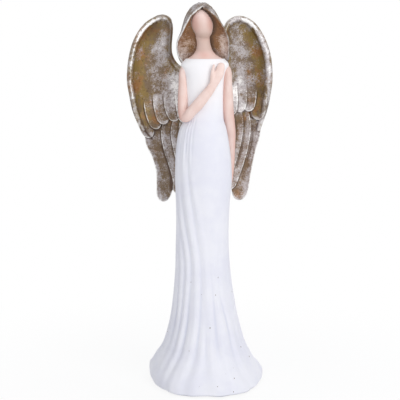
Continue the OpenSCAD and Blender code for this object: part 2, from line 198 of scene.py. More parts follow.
def fused(bm, voxel, rounds):
    """One skin around everything in bm, as a casting has, softened by rounds of smoothing."""
    obj = to_object("fused", bm)
    modifier = obj.modifiers.new("skin", "REMESH")
    modifier.mode = "VOXEL"
    modifier.voxel_size = voxel * MM
    dg = bpy.context.evaluated_depsgraph_get()
    mesh = bpy.data.meshes.new_from_object(obj.evaluated_get(dg))
    bpy.data.objects.remove(obj)
    bm = bmesh.new()
    bm.from_mesh(mesh)
    bpy.data.meshes.remove(mesh)
    soften(bm, rounds)
    bmesh.ops.scale(bm, vec=(1 / MM,) * 3, verts=bm.verts)
    return bm


def vertex_rows(mesh, name):
    """The co or the normal of every vertex, as the rows of an array."""
    values = np.empty(len(mesh.vertices) * 3)
    mesh.vertices.foreach_get(name, values)
    return values.reshape(-1, 3)


def store(mesh, name, values):
    layer = mesh.attributes.new(name, "FLOAT", "POINT")
    layer.data.foreach_set("value", np.asarray(values, dtype=np.float32))


def add_relief(obj, fine, wide, strength=0.5):
    """Stores how each point lies in the surface around it: 0.5 is level, less is sunk, more stands out.

    The surface around it is the mesh itself after fine, and again after wide, rounds of easing.
    """
    mesh = obj.data
    points, normals = vertex_rows(mesh, "co"), vertex_rows(mesh, "normal")
    count = len(points)
    ends = np.empty(len(mesh.edges) * 2, dtype=np.int32)
    mesh.edges.foreach_get("vertices", ends)
    a, b = ends.reshape(-1, 2).T
    degree = np.bincount(a, minlength=count) + np.bincount(b, minlength=count)

    def neighbours(column):
        from_a = np.bincount(a, weights=column[b], minlength=count)
        return from_a + np.bincount(b, weights=column[a], minlength=count)

    eased = points.copy()
    height = np.zeros(count)
    for step in range(1, wide + 1):
        total = np.stack([neighbours(column) for column in eased.T], axis=1)
        eased = 0.4 * eased + 0.6 * total / np.maximum(degree, 1)[:, None]
        if step in (fine, wide):
            out = ((points - eased) * normals).sum(axis=1)
            spread = np.percentile(np.abs(out), 97) + 1e-9
            height += 0.5 * np.clip(out / spread, -1, 1)
    store(mesh, "relief", 0.5 + strength * height)


def add_mask(obj, name, value):
    """Stores value(point in mm), from 0 to 1, on each point of obj."""
    store(obj.data, name, [value(v.co / MM) for v in obj.data.vertices])


def add_masks(obj, values):
    """Several masks at once: values(x, y, z in mm, normal's y) turns arrays into an array for each name."""
    x, y, z = vertex_rows(obj.data, "co").T / MM
    for name, mask in values(x, y, z, vertex_rows(obj.data, "normal")[:, 1]).items():
        store(obj.data, name, np.clip(mask, 0, 1))


# ---------------------------------------------------------------- materials

def node_group(name, inputs, outputs):
    group = bpy.data.node_groups.new(name, "ShaderNodeTree")
    for socket, kind, value in inputs:
        made = group.interface.new_socket(socket, in_out="INPUT", socket_type=kind)
        made.default_value = value
    for socket, kind in outputs:
        group.interface.new_socket(socket, in_out="OUTPUT", socket_type=kind)
    return group, group.nodes.new("NodeGroupInput"), group.nodes.new("NodeGroupOutput")


def set_inputs(node, values):
    for name, value in values.items():
        node.inputs[name].default_value = value


class Graph:
    """Short ways to add nodes to a node tree."""

    def __init__(self, tree):
        self.tree = tree

    def node(self, kind, **settings):
        made = self.tree.nodes.new(kind)
        for key, value in settings.items():
            setattr(made, key, value)
        return made

    def link(self, source, target):
        if hasattr(source, "is_linked"):
            self.tree.links.new(source, target)
        else:
            target.default_value = source

    def math(self, operation, a, b):
        made = self.node("ShaderNodeMath", operation=operation)
        self.link(a, made.inputs[0])
        self.link(b, made.inputs[1])
        return made.outputs[0]

    def ramp(self, value, low, high):
        made = self.node("ShaderNodeMapRange", interpolation_type="SMOOTHSTEP")
        self.link(value, made.inputs["Value"])
        set_inputs(made, {"From Min": low, "From Max": high})
        return made.outputs["Result"]

    def blend(self, share, a, b):
        made = self.node("ShaderNodeMix", data_type="RGBA")
        self.link(share, made.inputs["Factor"])
        self.link(a, made.inputs[6])
        self.link(b, made.inputs[7])
        return made.outputs[2]

    def noise(self, vector, scale, detail, roughness=0.55, distortion=0.0):
        made = self.node("ShaderNodeTexNoise")
        self.link(vector, made.inputs["Vector"])
        set_inputs(made, {"Scale": scale, "Detail": detail, "Roughness": roughness, "Distortion": distortion})
        return made.outputs["Fac"]

    def mask(self, name):
        """A value that the piece holds on its points."""
        return self.node("ShaderNodeAttribute", attribute_name=name).outputs["Fac"]

    def height(self, place):
        made = self.node("ShaderNodeSeparateXYZ")
        self.link(place, made.inputs[0])
        return made.outputs["Z"]

    def seen_plainly(self):
        """1 for what the camera, a gloss or a glass shows of the surroundings, and 0 for the light they give."""
        rays = self.node("ShaderNodeLightPath").outputs
        return self.math("MAXIMUM", rays["Is Camera Ray"],
                         self.math("MAXIMUM", rays["Is Glossy Ray"], rays["Is Transmission Ray"]))


def colour(red, green, blue):
    """An sRGB colour in 0 to 255, as the linear colour that a socket takes."""
    parts = [part / 255 for part in (red, green, blue)]
    linear = [part / 12.92 if part <= 0.04 else ((part + 0.055) / 1.055) ** 2.4 for part in parts]
    return (*linear, 1.0)


def new_material(name):
    material = bpy.data.materials.new(name)
    material.use_nodes = True
    graph = Graph(material.node_tree)
    shader = material.node_tree.nodes["Principled BSDF"]
    place = graph.node("ShaderNodeTexCoord").outputs["Object"]
    return material, graph, shader, place


def add_bump(graph, shader, height, strength, distance):
    made = graph.node("ShaderNodeBump")
    set_inputs(made, {"Strength": strength, "Distance": distance})
    graph.link(height, made.inputs["Height"])
    graph.link(made.outputs["Normal"], shader.inputs["Normal"])


def pinholes_group():
    """Sparse dark specks where a bubble or a grain broke the paint."""
    group, given, out = node_group(
        "pinholes",
        [("Vector", "NodeSocketVector", (0, 0, 0)), ("Scale", "NodeSocketFloat", 90.0),
         ("Size", "NodeSocketFloat", 0.05), ("Share", "NodeSocketFloat", 0.1)],
        [("Mask", "NodeSocketFloat")],
    )
    g = Graph(group)
    cells = g.node("ShaderNodeTexVoronoi", feature="F1")
    g.link(given.outputs["Vector"], cells.inputs["Vector"])
    g.link(given.outputs["Scale"], cells.inputs["Scale"])
    split = g.node("ShaderNodeSeparateColor")
    g.link(cells.outputs["Color"], split.inputs["Color"])
    chosen = g.math("LESS_THAN", split.outputs["Red"], given.outputs["Share"])
    size = g.math("MULTIPLY", given.outputs["Size"], g.math("ADD", split.outputs["Green"], 0.4))
    near = g.math("LESS_THAN", cells.outputs["Distance"], size)
    g.link(g.math("MULTIPLY", chosen, near), out.inputs["Mask"])
    return group


def gown_material(pinholes):
    material, g, shader, place = new_material("matte_white_gown")
    cloudy = g.noise(place, 45, 4)
    base = g.blend(g.ramp(cloudy, 0.35, 0.65), colour(231, 231, 240), colour(237, 237, 243))
    height = g.height(place)
    # Painted light: the bodice is painted near-white, lighter than the skirt, for light falling on the chest.
    painted_light_on_bodice = g.ramp(height, 0.2, 0.24)
    base = g.blend(painted_light_on_bodice, base, colour(250, 248, 249))
    off_the_hem = g.ramp(height, 0.015, 0.06)
    # Painted shade: blue-grey in the sunk creases of the pleats, faded out near the hem.
    shade_in_creases = g.math("MULTIPLY", g.ramp(g.mask("relief"), 0.5, 0.05), off_the_hem)
    base = g.blend(shade_in_creases, base, colour(212, 214, 228))
    specks = g.node("ShaderNodeGroup", node_tree=pinholes)
    g.link(place, specks.inputs["Vector"])
    set_inputs(specks, {"Scale": 150, "Size": 0.08, "Share": 0.6})
    low_down = g.ramp(height, 0.11, 0.05)
    speckled = g.math("MULTIPLY", specks.outputs["Mask"], low_down)
    base = g.blend(speckled, base, colour(104, 78, 62))
    # Painted shadow: a blue-grey band along the lowest millimetre of the hem.
    shadow_under_hem = g.ramp(height, (hem_z + 1.2) * MM, (hem_z + 0.2) * MM)
    base = g.blend(shadow_under_hem, base, colour(160, 163, 178))
    g.link(base, shader.inputs["Base Color"])
    grain = g.noise(place, 1400, 2)
    g.link(g.math("ADD", g.math("MULTIPLY", grain, 0.12), 0.5), shader.inputs["Roughness"])
    shader.inputs["Specular IOR Level"].default_value = 0.3
    dents = g.math("SUBTRACT", g.math("ADD", grain, g.math("MULTIPLY", cloudy, 3)), speckled)
    add_bump(g, shader, dents, 0.25, 0.0002)
    return material


def skin_material():
    material, g, shader, place = new_material("painted_skin")
    cloudy = g.noise(place, 120, 4)
    base = g.blend(g.ramp(cloudy, 0.3, 0.7), colour(237, 210, 200), colour(245, 223, 215))
    # The mask below paints pink blush on the cheeks, throat, elbows and hands, and painted shade under the chin
    # and along the arms' edges.
    base = g.blend(g.mask("blush_and_shade"), base, colour(220, 171, 158))
    base = g.blend(g.mask("shade"), base, colour(206, 178, 165))
    g.link(base, shader.inputs["Base Color"])
    set_inputs(shader, {"Roughness": 0.5, "Specular IOR Level": 0.35})
    add_bump(g, shader, g.noise(place, 1500, 2), 0.12, 0.0001)
    return material


# The masks that a leafed piece holds, and what each is where it has none; Shade carries painted shade and Bright
# painted highlights.
LEAF_MASKS = {"Relief": 0.5, "Silver": 0.5, "Gold": 0.5, "Warm": 0.0, "Shade": 0.0, "Bright": 0.0}


def leaf_group():
    """Worn silver leaf over a brown and olive ground, with painted shade and painted highlights from its masks:
    colour, roughness and height.
    """
    group, given, out = node_group(
        "worn_leaf_and_painted_light",
        [("Vector", "NodeSocketVector", (0, 0, 0)),
         *((name, "NodeSocketFloat", value) for name, value in LEAF_MASKS.items())],
        [("Color", "NodeSocketColor"), ("Roughness", "NodeSocketFloat"), ("Height", "NodeSocketFloat")],
    )
    g = Graph(group)
    place = given.outputs["Vector"]
    relief, silvered, gold, warm, shade, bright = (given.outputs[name] for name in LEAF_MASKS)
    stretch = g.node("ShaderNodeMapping")
    stretch.inputs["Scale"].default_value = (1, 1, 0.45)
    g.link(place, stretch.inputs["Vector"])
    clouds = g.noise(place, 95, 3, 0.55)
    mottling = g.noise(place, 400, 5, 0.74)
    grain = g.noise(place, 1300, 2, 0.6)
    streaks = g.noise(stretch.outputs["Vector"], 330, 4, 0.65)
    stains = g.noise(place, 70, 3, 0.6)
    flecks = g.noise(place, 620, 3, 0.7, 0.5)

    def varied(value, *patterns):
        """The value, raised and lowered by each pattern times its amount."""
        for pattern, amount in patterns:
            value = g.math("ADD", value, g.math("MULTIPLY", g.math("SUBTRACT", pattern, 0.5), amount))
        return value

    def painted(base, paint, value, low, high, most=1.0):
        """The base under a paint that comes in as the value goes from low to high, up to a share of most."""
        share = g.ramp(value, low, high)
        return g.blend(share if most == 1 else g.math("MULTIPLY", share, most), base, paint)

    taupe, olive, ochre = colour(116, 98, 76), colour(134, 112, 58), colour(148, 104, 56)
    umber, russet, painted_shade = colour(78, 52, 36), colour(136, 92, 58), colour(80, 58, 42)
    silver = g.blend(warm, colour(184, 179, 182), colour(204, 180, 164))
    pale, painted_highlight = colour(236, 233, 230), colour(246, 244, 242)

    ground = painted(taupe, olive, varied(gold, (clouds, 2.0), (streaks, 2.0)), 0.2, 0.8)
    ground = painted(ground, ochre, varied(gold, (stains, 4.0), (mottling, 2.0)), 0.6, 1.4)
    ground = g.blend(g.math("MULTIPLY", warm, 0.9), ground, russet)
    leafed = varied(silvered, (clouds, 2.6), (mottling, 1.7), (grain, 1.7))
    base = painted(ground, silver, leafed, 0.05, 0.95)
    base = painted(base, umber, flecks, 0.57, 0.68, 0.75)
    base = painted(base, pale, leafed, 0.9, 1.4, 0.75)
    sunk = varied(g.math("SUBTRACT", 0.5, relief), (grain, 0.3))
    base = painted(base, umber, sunk, 0.16, 0.46, 0.7)
    raised = varied(g.math("SUBTRACT", relief, 0.5), (mottling, 0.5))
    base = painted(base, pale, raised, 0.16, 0.46, 0.7)
    # Painted shade: where the Shade mask is high the leaf turns dark brown.
    base = painted(base, painted_shade, varied(shade, (mottling, 0.5)), 0.1, 1.0)
    # Painted highlights: where the Bright mask is high the leaf turns near-white.
    base = painted(base, painted_highlight, varied(bright, (mottling, 1.9), (clouds, 1.0)), 0.25, 0.85)
    g.link(base, out.inputs["Color"])
    g.link(g.math("ADD", g.math("MULTIPLY", grain, 0.4), 0.3), out.inputs["Roughness"])
    height = g.math("ADD", g.math("MULTIPLY", grain, 0.6), g.math("MULTIPLY", mottling, 0.8))
    pits = g.math("MULTIPLY", g.ramp(flecks, 0.58, 0.72), 0.5)
    g.link(g.math("SUBTRACT", height, pits), out.inputs["Height"])
    return group


def leaf_material(name, leaf):
    material, g, shader, place = new_material(name)
    worn = g.node("ShaderNodeGroup", node_tree=leaf)
    g.link(place, worn.inputs["Vector"])
    for mask in LEAF_MASKS:
        g.link(g.mask(mask.lower()), worn.inputs[mask])
    g.link(worn.outputs["Color"], shader.inputs["Base Color"])
    g.link(worn.outputs["Roughness"], shader.inputs["Roughness"])
    shader.inputs["Metallic"].default_value = 0.3
    add_bump(g, shader, worn.outputs["Height"], 0.5, 0.0004)
    return material


def steel_material():
    material, g, shader, place = new_material("steel_pin")
    tone = g.noise(place, 900, 2)
    g.link(g.blend(tone, colour(150, 150, 154), colour(190, 190, 192)), shader.inputs["Base Color"])
    set_inputs(shader, {"Metallic": 1.0, "Roughness": 0.35})
    return material


def felt_material():
    material, g, shader, place = new_material("brown_felt")
    fibres = g.noise(place, 1800, 6, 0.8, 1.5)
    g.link(g.blend(fibres, colour(48, 40, 34), colour(96, 84, 74)), shader.inputs["Base Color"])
    shader.inputs["Roughness"].default_value = 0.95
    add_bump(g, shader, fibres, 0.8, 0.0006)
    return material


# ---------------------------------------------------------------- the gown

# Share of the gown's height, half width, half depth, middle x, middle y, how far the sides are drawn back.
GOWN = [
    [0.000, 46.2, 39.6, 0.7, -2.4, 23],
    [0.030, 44.1, 36.6, -0.8, -1.6, 19],
    [0.055, 40.8, 33.4, -1.3, -0.9, 14],
    [0.081, 37.5, 31.4, -1.3, -0.4, 10],
    [0.105, 34.0, 28.6, -0.8, 0, 7],
    [0.130, 31.4, 26.6, -0.7, 0, 5],
    [0.195, 27.0, 22.8, -0.8, 0, 3],
    [0.260, 24.2, 19.9, -1.3, 0, 1],
    [0.350, 21.7, 17.5, -2.0, 0, 0],
    [0.430, 20.8, 16.2, -2.5, 0, 0],
    [0.500, 20.6, 15.8, -2.3, 0, 0],
    [0.570, 21.2, 16.1, -2.0, 0, 0],
    [0.635, 22.1, 16.5, -1.5, 0, 0],
    [0.695, 21.7, 16.0, -1.7, 0, 0],
    [0.730, 20.9, 15.3, -1.9, 0, 0],
    [0.772, 19.3, 13.9, -2.0, 0, 0],
    [0.795, 17.8, 12.8, -1.8, 0, 0],
    [0.817, 15.4, 11.3, -1.1, 0, 0],
    [0.848, 14.8, 9.9, -1.0, 0, 0],
    [0.885, 14.6, 9.5, -0.8, 0, 0],
    [0.930, 14.8, 10.0, -0.5, 0, 0],
    [0.948, 15.2, 10.1, -0.3, 0, 0],
    [0.963, 16.2, 9.9, -0.3, 0, 0],
    [0.972, 17.2, 9.7, -0.3, 0, 0],
    [0.981, 18.4, 9.3, -0.4, 0, 0],
    [0.988, 18.0, 9.1, -0.4, 0, 0],
    [0.994, 16.6, 8.7, -0.3, 0, 0],
    [1.000, 15.0, 8.1, -0.2, 0, 0],
]

# Each pleat: rows of share of the gown's height, angle round the body, depth and half width in degrees.
PLEATS = [
    [[0, 205, 0.6, 8], [0.08, 206, 1.2, 7], [0.2, 209, 1.5, 6], [0.4, 206, 0.9, 6], [0.55, 203, 0.3, 5],
     [0.7, 202, 0, 5]],
    [[0, 220, 2.2, 5], [0.13, 222, 2.0, 5], [0.28, 226, 1.3, 5], [0.4, 226, 1.0, 6], [0.53, 203, 0.7, 7],
     [0.7, 195, 0.2, 7]],
    [[0, 229, 3.0, 4.5], [0.13, 235, 2.8, 5], [0.25, 240, 1.6, 6], [0.4, 243, 1.3, 6], [0.51, 227, 1.1, 6],
     [0.6, 216, 0.8, 6], [0.75, 208, 0.3, 6]],
    [[0, 250, 2.0, 5], [0.1, 257, 1.9, 5], [0.25, 264, 1.3, 5], [0.4, 265, 1.0, 6], [0.53, 250, 1.0, 6],
     [0.62, 240, 0.8, 5], [0.75, 230, 0.35, 5]],
    [[0, 239, 1.2, 4], [0.14, 246, 0.8, 4], [0.3, 251, 0.2, 4], [0.4, 252, 0, 4]],
    [[0, 271, 1.4, 5], [0.2, 272, 1.0, 5], [0.3, 273, 0.2, 5], [0.4, 273, 0, 5]],
    [[0, 291, 2.0, 6], [0.15, 290, 1.8, 6], [0.3, 290, 1.0, 6], [0.42, 288, 0, 6]],
    [[0, 318, 1.8, 5], [0.06, 314, 1.8, 5], [0.2, 312, 1.3, 5], [0.3, 303, 0.8, 5], [0.42, 306, 0.3, 6],
     [0.55, 306, 0, 6]],
    [[0, 304, 1.0, 4], [0.15, 303, 0.8, 4], [0.25, 300, 0.2, 4], [0.35, 300, 0, 4]],
    [[0, 333, 0.5, 7], [0.15, 331, 0.8, 7], [0.3, 328, 0.3, 8], [0.5, 328, 0, 8]],
    [[0, 352, 0.3, 7], [0.2, 350, 0.9, 8], [0.5, 348, 0.4, 8], [0.8, 348, 0, 8]],
    [[0, 18, 0.4, 6], [0.2, 20, 1.0, 7], [0.45, 24, 0.6, 8], [0.7, 28, 0, 8]],
    [[0, 44, 2.6, 6], [0.2, 47, 2.0, 6], [0.45, 52, 1.1, 7], [0.75, 58, 0, 7]],
    [[0, 68, 2.2, 6], [0.2, 71, 1.7, 6], [0.45, 74, 0.9, 6], [0.7, 78, 0, 6]],
    [[0, 94, 2.8, 6], [0.2, 94, 2.2, 6], [0.5, 93, 1.2, 6], [0.78, 92, 0, 6]],
    [[0, 119, 2.2, 6], [0.2, 116, 1.7, 6], [0.45, 111, 0.9, 6], [0.7, 106, 0, 6]],
    [[0, 142, 2.6, 6], [0.2, 138, 2.0, 6], [0.45, 132, 1.1, 7], [0.75, 126, 0, 7]],
    [[0, 165, 2.2, 6], [0.2, 161, 1.6, 7], [0.45, 156, 0.8, 8], [0.7, 150, 0, 8]],
    [[0, 186, 0.4, 7], [0.2, 187, 1.0, 7], [0.45, 184, 0.6, 8], [0.7, 180, 0, 8]],
]

# Fine gathers under the bent elbow: angle, depth, half width in degrees.
GATHERS = [[219, 0.5, 4], [229, 0.55, 3.5], [237, 0.5, 3], [245, 0.35, 3], [211, 0.4, 4]]


def turn_to(angle, other):
    """The turn from one angle to another, between -180 and 180 degrees."""
    return (other - angle + 540) % 360 - 180


def pleat_dip(angle, share):
    """How far the pleats draw the cloth in, and the soft roll that stands beside each of them."""
    roll_height, roll_place = 0.38, 1.9
    dip = 0.0
    for rows in PLEATS:
        middle, depth, width = along(rows, share)
        if depth <= 0 or share > rows[-1][0]:
            continue
        away = abs(turn_to(middle, angle)) / width
        dip += depth * (math.exp(-away * away) - roll_height * math.exp(-((away - roll_place) ** 2)))
    dip *= mix(0.8, 0.55, smooth(0.05, 0.4, share)) * mix(0.55, 1, smooth(0, 0.12, share))
    under_elbow = smooth(0.64, 0.74, share) * (1 - smooth(0.8, 0.84, share))
    for middle, depth, width in GATHERS:
        away = turn_to(middle, angle) / width
        dip += under_elbow * depth * math.exp(-away * away)
    return dip


def body_point(share, angle, off=0.0):
    """A point of the body, off its surface by a distance; the hem is squarer than the body above it."""
    half_width, half_depth, x, y, back = along(GOWN, share)
    c, s = math.cos(math.radians(angle)), math.sin(math.radians(angle))
    at_hem = smooth(0.12, 0.0, share)
    across = math.copysign(abs(c) ** mix(1.0, 0.86, at_hem), c)
    through = math.copysign(abs(s) ** mix(1.0, 0.78 if s < 0 else 0.86, at_hem), s)
    return Vector((
        x + (half_width + off) * across,
        y + (half_depth + off) * through + back * c**4,
        hem_z + gown_height * share,
    ))


def body_share(z):
    return (z - hem_z) / gown_height


def hem_lift(angle):
    """How far the cloth's edge lifts off the surface: at the back corners and one in front, with ripples."""
    lift = 0.4 * (0.5 + 0.5 * math.sin(math.radians(angle * 11 + 40)))
    for corner, height, width in [[160, 4.5, 34], [22, 2.2, 26], [225, 0.5, 18]]:
        lift += height * bump(turn_to(corner, angle), 0, width)
    return lift


def build_gown(material):
    # Where each part ends on the way from the underside to the top, and the sizes of the hem's edge.
    underside, edge, rise = 0.10, 0.13, 0.955
    hem_thickness, hem_round, tuck = 1.1, 1.3, 3.2
    pad_centre, top_centre = Vector((0, -1.2, hem_z)), Vector((-0.2, 0, neckline_z))

    def underside_point(angle, out):
        p = body_point(0, angle, -tuck - pleat_dip(angle, 0) * 0.8)
        p = pad_centre + (p - pad_centre) * out
        p.z = hem_z + hem_lift(angle) * smooth(0.75, 1, out) * 0.8
        return p

    def edge_point(angle, share):
        turn = math.pi / 2 * (share - 1)
        p = body_point(0, angle, -pleat_dip(angle, 0) - hem_round + hem_round * math.cos(turn))
        p.z = hem_z + hem_lift(angle) + hem_thickness * (1 + math.sin(turn))
        return p

    def cloth_point(angle, share):
        low = (hem_lift(angle) + hem_thickness) / gown_height
        share = mix(low * (1 - smooth(0, 0.12, share)), 1, share)
        sampled = max(0, share - low * (1 - smooth(0, 0.1, share)))
        dip = pleat_dip(angle, sampled)
        p, q = body_point(share, angle, -dip), body_point(sampled, angle, -dip)
        flare = smooth(0.08, 0, share)
        p.x, p.y = mix(p.x, q.x, flare), mix(p.y, q.y, flare)
        return p

    def top_point(angle, turn):
        lip = 0.35
        p = body_point(1, angle)
        inward = smooth(0, lip, turn) * 0.12 + max(0, turn - lip) / (1 - lip) * 0.88
        q = p + (top_centre - p) * inward
        q.z = neckline_z + 0.35 * math.sin(math.pi * min(1, turn / lip)) - 1.6 * smooth(0.3, 0.6, turn)
        return q

    def place(u, v):
        angle = 360 * u
        if v < underside:
            return underside_point(angle, v / underside)
        if v < edge:
            return edge_point(angle, (v - underside) / (edge - underside))
        if v <= rise:
            return cloth_point(angle, (v - edge) / (rise - edge))
        return top_point(angle, (v - rise) / (1 - rise))

    obj = to_object("gown_cloth", wrap(300, 300, place), "gown", material)
    add_relief(obj, 8, 60)


# ---------------------------------------------------------------- head and neck

# Height above the neckline, half width, half depth, middle x, middle y of the bare chest and the neck.
NECK = [
    [-1.5, 15.2, 8.2, -0.2, 0.0],
    [0.2, 13.6, 7.2, -0.3, 0.0],
    [1.6, 11.3, 6.6, -0.5, 0.0],
    [3.3, 8.9, 6.0, -0.8, 0.0],
    [6.4, 6.5, 5.3, -1.0, -0.1],
    [9.5, 5.5, 5.0, -1.2, -0.3],
    [13.0, 5.1, 5.0, -1.6, -0.6],
    [16.0, 5.2, 5.2, -2.0, -0.8],
    [26.0, 5.2, 5.2, -2.4, -0.8],
]
FACE_HALF = Vector((8.2, 8.8, 11.9))
FACE_TILT = math.tan(math.radians(8))
CHIN_Z = neckline_z + 14.9
FACE_CENTRE = Vector((-2.6, -2.6, CHIN_Z + FACE_HALF.z))


def neck_slice(z):
    """Half width, half depth, middle x and middle y of the neck at one height."""
    half_width, half_depth, x, y = along(NECK, z - neckline_z)
    fade = 1 - smooth(FACE_CENTRE.z - 2, FACE_CENTRE.z + 6, z)
    return max(half_width * fade, 1e-3), max(half_depth * fade, 1e-3), x, y


def head_slice(z):
    """The same for the egg of the face, which is fullest below its middle."""
    up = (z - FACE_CENTRE.z) / FACE_HALF.z
    if abs(up) >= 1:
        return 1e-3, 1e-3, FACE_CENTRE.x, FACE_CENTRE.y
    round_off = math.sqrt(1 - up * up)
    taper = 1 - 0.10 * max(0, -up) ** 1.3 - 0.06 * max(0, up)
    x = FACE_CENTRE.x - FACE_TILT * (z - FACE_CENTRE.z)
    return FACE_HALF.x * round_off * taper, FACE_HALF.y * round_off, x, FACE_CENTRE.y


def reach_of(slice_at, direction, axis):
    """How far a level ellipse reaches from an axis, in one direction."""
    half_width, half_depth, x, y = slice_at
    dx, dy = axis[0] - x, axis[1] - y
    a = (direction[0] / half_width) ** 2 + (direction[1] / half_depth) ** 2
    b = dx * direction[0] / half_width**2 + dy * direction[1] / half_depth**2
    c = (dx / half_width) ** 2 + (dy / half_depth) ** 2 - 1
    inside = b * b - a * c
    return max(0.0, (-b + math.sqrt(inside)) / a) if inside > 0 else 0.0


def build_head(material):
    top, bottom = FACE_CENTRE.z + FACE_HALF.z, neckline_z + NECK[0][0]
    floor_share, straight = 0.05, 0.7

    def place(u, v):
        angle = 2 * math.pi * u
        direction = (math.cos(angle), math.sin(angle))
        if v < floor_share:
            share = v / floor_share
            half_width, half_depth, x, y = along(NECK, NECK[0][0])
            return Vector((x + half_width * direction[0] * share, y + half_depth * direction[1] * share, bottom))
        t = (v - floor_share) / (1 - floor_share)
        rise = t if t < straight else straight + (1 - straight) * math.sin(
            (t - straight) / (1 - straight) * math.pi / 2)
        z = mix(bottom, top, rise)
        neck, face = neck_slice(z), head_slice(z)
        lean = smooth(FACE_CENTRE.z - 6, FACE_CENTRE.z + 4, z)
        axis = (mix(neck[2], face[2], lean), mix(neck[3], face[3], lean))
        neck_reach, face_reach = reach_of(neck, direction, axis), reach_of(face, direction, axis)
        blend = 0.35 * smooth(0.5, 3, face_reach) * smooth(0.5, 3, neck_reach)
        radius = 0.5 * (neck_reach + face_reach + math.sqrt((neck_reach - face_reach) ** 2 + blend))
        return Vector((axis[0] + radius * direction[0], axis[1] + radius * direction[1], z))

    bm = wrap(144, 260, place)
    soften(bm, 5)
    obj = to_object("head_and_neck", bm, "head", material)

    def on_face(p):
        return smooth(CHIN_Z - 1, CHIN_Z + 2.5, p.z) * smooth(-4, -7, p.y)

    # Pink blush on the cheeks and throat, and painted shade in the crease under the chin.
    def blush_and_shade(p):
        aside = (p.x - head_slice(p.z)[2]) / FACE_HALF.x
        cheeks = on_face(p) * (0.95 * smooth(0.1, 0.9, abs(aside)) + 0.35 * bump(aside, -0.4, 0.4))
        cheeks *= bump(p.z, FACE_CENTRE.z - 1, 8)
        chin_line = CHIN_Z - 0.2 + 0.07 * (p.x - head_slice(CHIN_Z + 1)[2]) ** 2
        under_chin = 0.55 * bump(p.z, chin_line, 1.1) * smooth(-9, -7, p.y) * smooth(0, -4, p.y)
        throat = 0.55 * bump(p.z, neckline_z + 4, 4) * bump(p.x, -1, 6)
        return min(1, cheeks + under_chin + throat + 0.15)

    def shade(p):
        face = on_face(p)
        neck = (1 - face) * smooth(neckline_z + 3, neckline_z + 8, p.z)
        chin = 0.9 * bump(p.z, CHIN_Z + 1, 5) + 0.35 * smooth(FACE_CENTRE.z + 7, FACE_CENTRE.z, p.z)
        return min(1, 0.75 * neck + chin * face)

    add_mask(obj, "blush_and_shade", blush_and_shade)
    add_mask(obj, "shade", shade)


# ---------------------------------------------------------------- hair

# Share of the way down, then the rim at -X, the rim at +X and the middle line over the crown and down the back,
# each as x, y, z.
HAIR = [
    [0.00, -2.4, -9.2, 297.0, -2.2, -9.2, 297.0, -2.3, -8.6, 297.6],
    [0.05, -4.2, -9.2, 296.0, -0.2, -9.2, 296.2, -2.4, -7.0, 299.0],
    [0.12, -7.6, -9.0, 293.4, 3.7, -9.0, 293.4, -2.6, -3.0, 300.4],
    [0.20, -11.4, -8.2, 290.0, 7.9, -8.2, 289.8, -2.6, 3.0, 299.4],
    [0.30, -14.0, -7.0, 285.4, 11.4, -7.0, 285.0, -2.5, 8.5, 294.8],
    [0.40, -16.3, -6.0, 280.9, 14.5, -6.0, 280.6, -2.3, 11.8, 287.5],
    [0.50, -18.6, -5.0, 276.3, 16.4, -5.0, 276.3, -2.0, 13.0, 280.0],
    [0.60, -21.3, -4.0, 271.4, 17.9, -4.0, 271.4, -1.8, 13.4, 273.0],
    [0.70, -22.2, -3.0, 266.4, 18.4, -3.0, 265.6, -1.7, 13.3, 266.0],
    [0.80, -21.6, -0.6, 261.6, 18.2, -0.8, 260.6, -1.6, 13.0, 259.0],
    [0.90, -19.4, 3.0, 257.0, 17.4, 2.6, 256.4, -1.5, 12.4, 251.0],
    [1.00, -15.0, 6.6, 251.6, 13.4, 6.6, 251.6, -1.4, 11.6, 243.0],
]
# Share of the way down, degrees that the outer curve runs past the rim at -X and at +X, depth of the hollow.
HAIR_FULLNESS = [
    [0.00, 8, 4, 0.2],
    [0.05, 12, 4, 0.4],
    [0.12, 16, 2, 0.9],
    [0.20, 21, 1, 1.5],
    [0.30, 22, 1, 2.4],
    [0.40, 18, 2, 3.2],
    [0.50, 14, 5, 4.0],
    [0.60, 12, 8, 4.8],
    [0.70, 9, 8, 5.2],
    [0.80, 9, 8, 5.2],
    [0.90, 9, 8, 4.6],
    [1.00, 8, 8, 3.0],
]
HAIR_GAP = -0.25
RIM_WIDTH = 1.3


def strands(turn, down):
    """Locks and finer strands that run down the hair and sway a little."""
    sway = turn + 0.10 * math.sin(5 * down + 2 * turn) + 0.05 * math.sin(11 * down)
    locks = abs(math.sin(9 * sway + 0.6 * math.sin(7 * sway)))
    fine = math.sin(41 * sway + 1.5 * math.sin(13 * sway) + 3 * down)
    return 0.75 * (locks - 0.6) + 0.16 * fine


def behind_head(x, z):
    """The y of the head's and the neck's back, for a hollow that fits close around them."""
    back = -99.0
    for half_width, half_depth, middle, y in (head_slice(z), neck_slice(z)):
        across = (x - middle) / (half_width + HAIR_GAP)
        if abs(across) < 1:
            back = max(back, y + (half_depth + HAIR_GAP) * math.sqrt(1 - across * across))
    return back


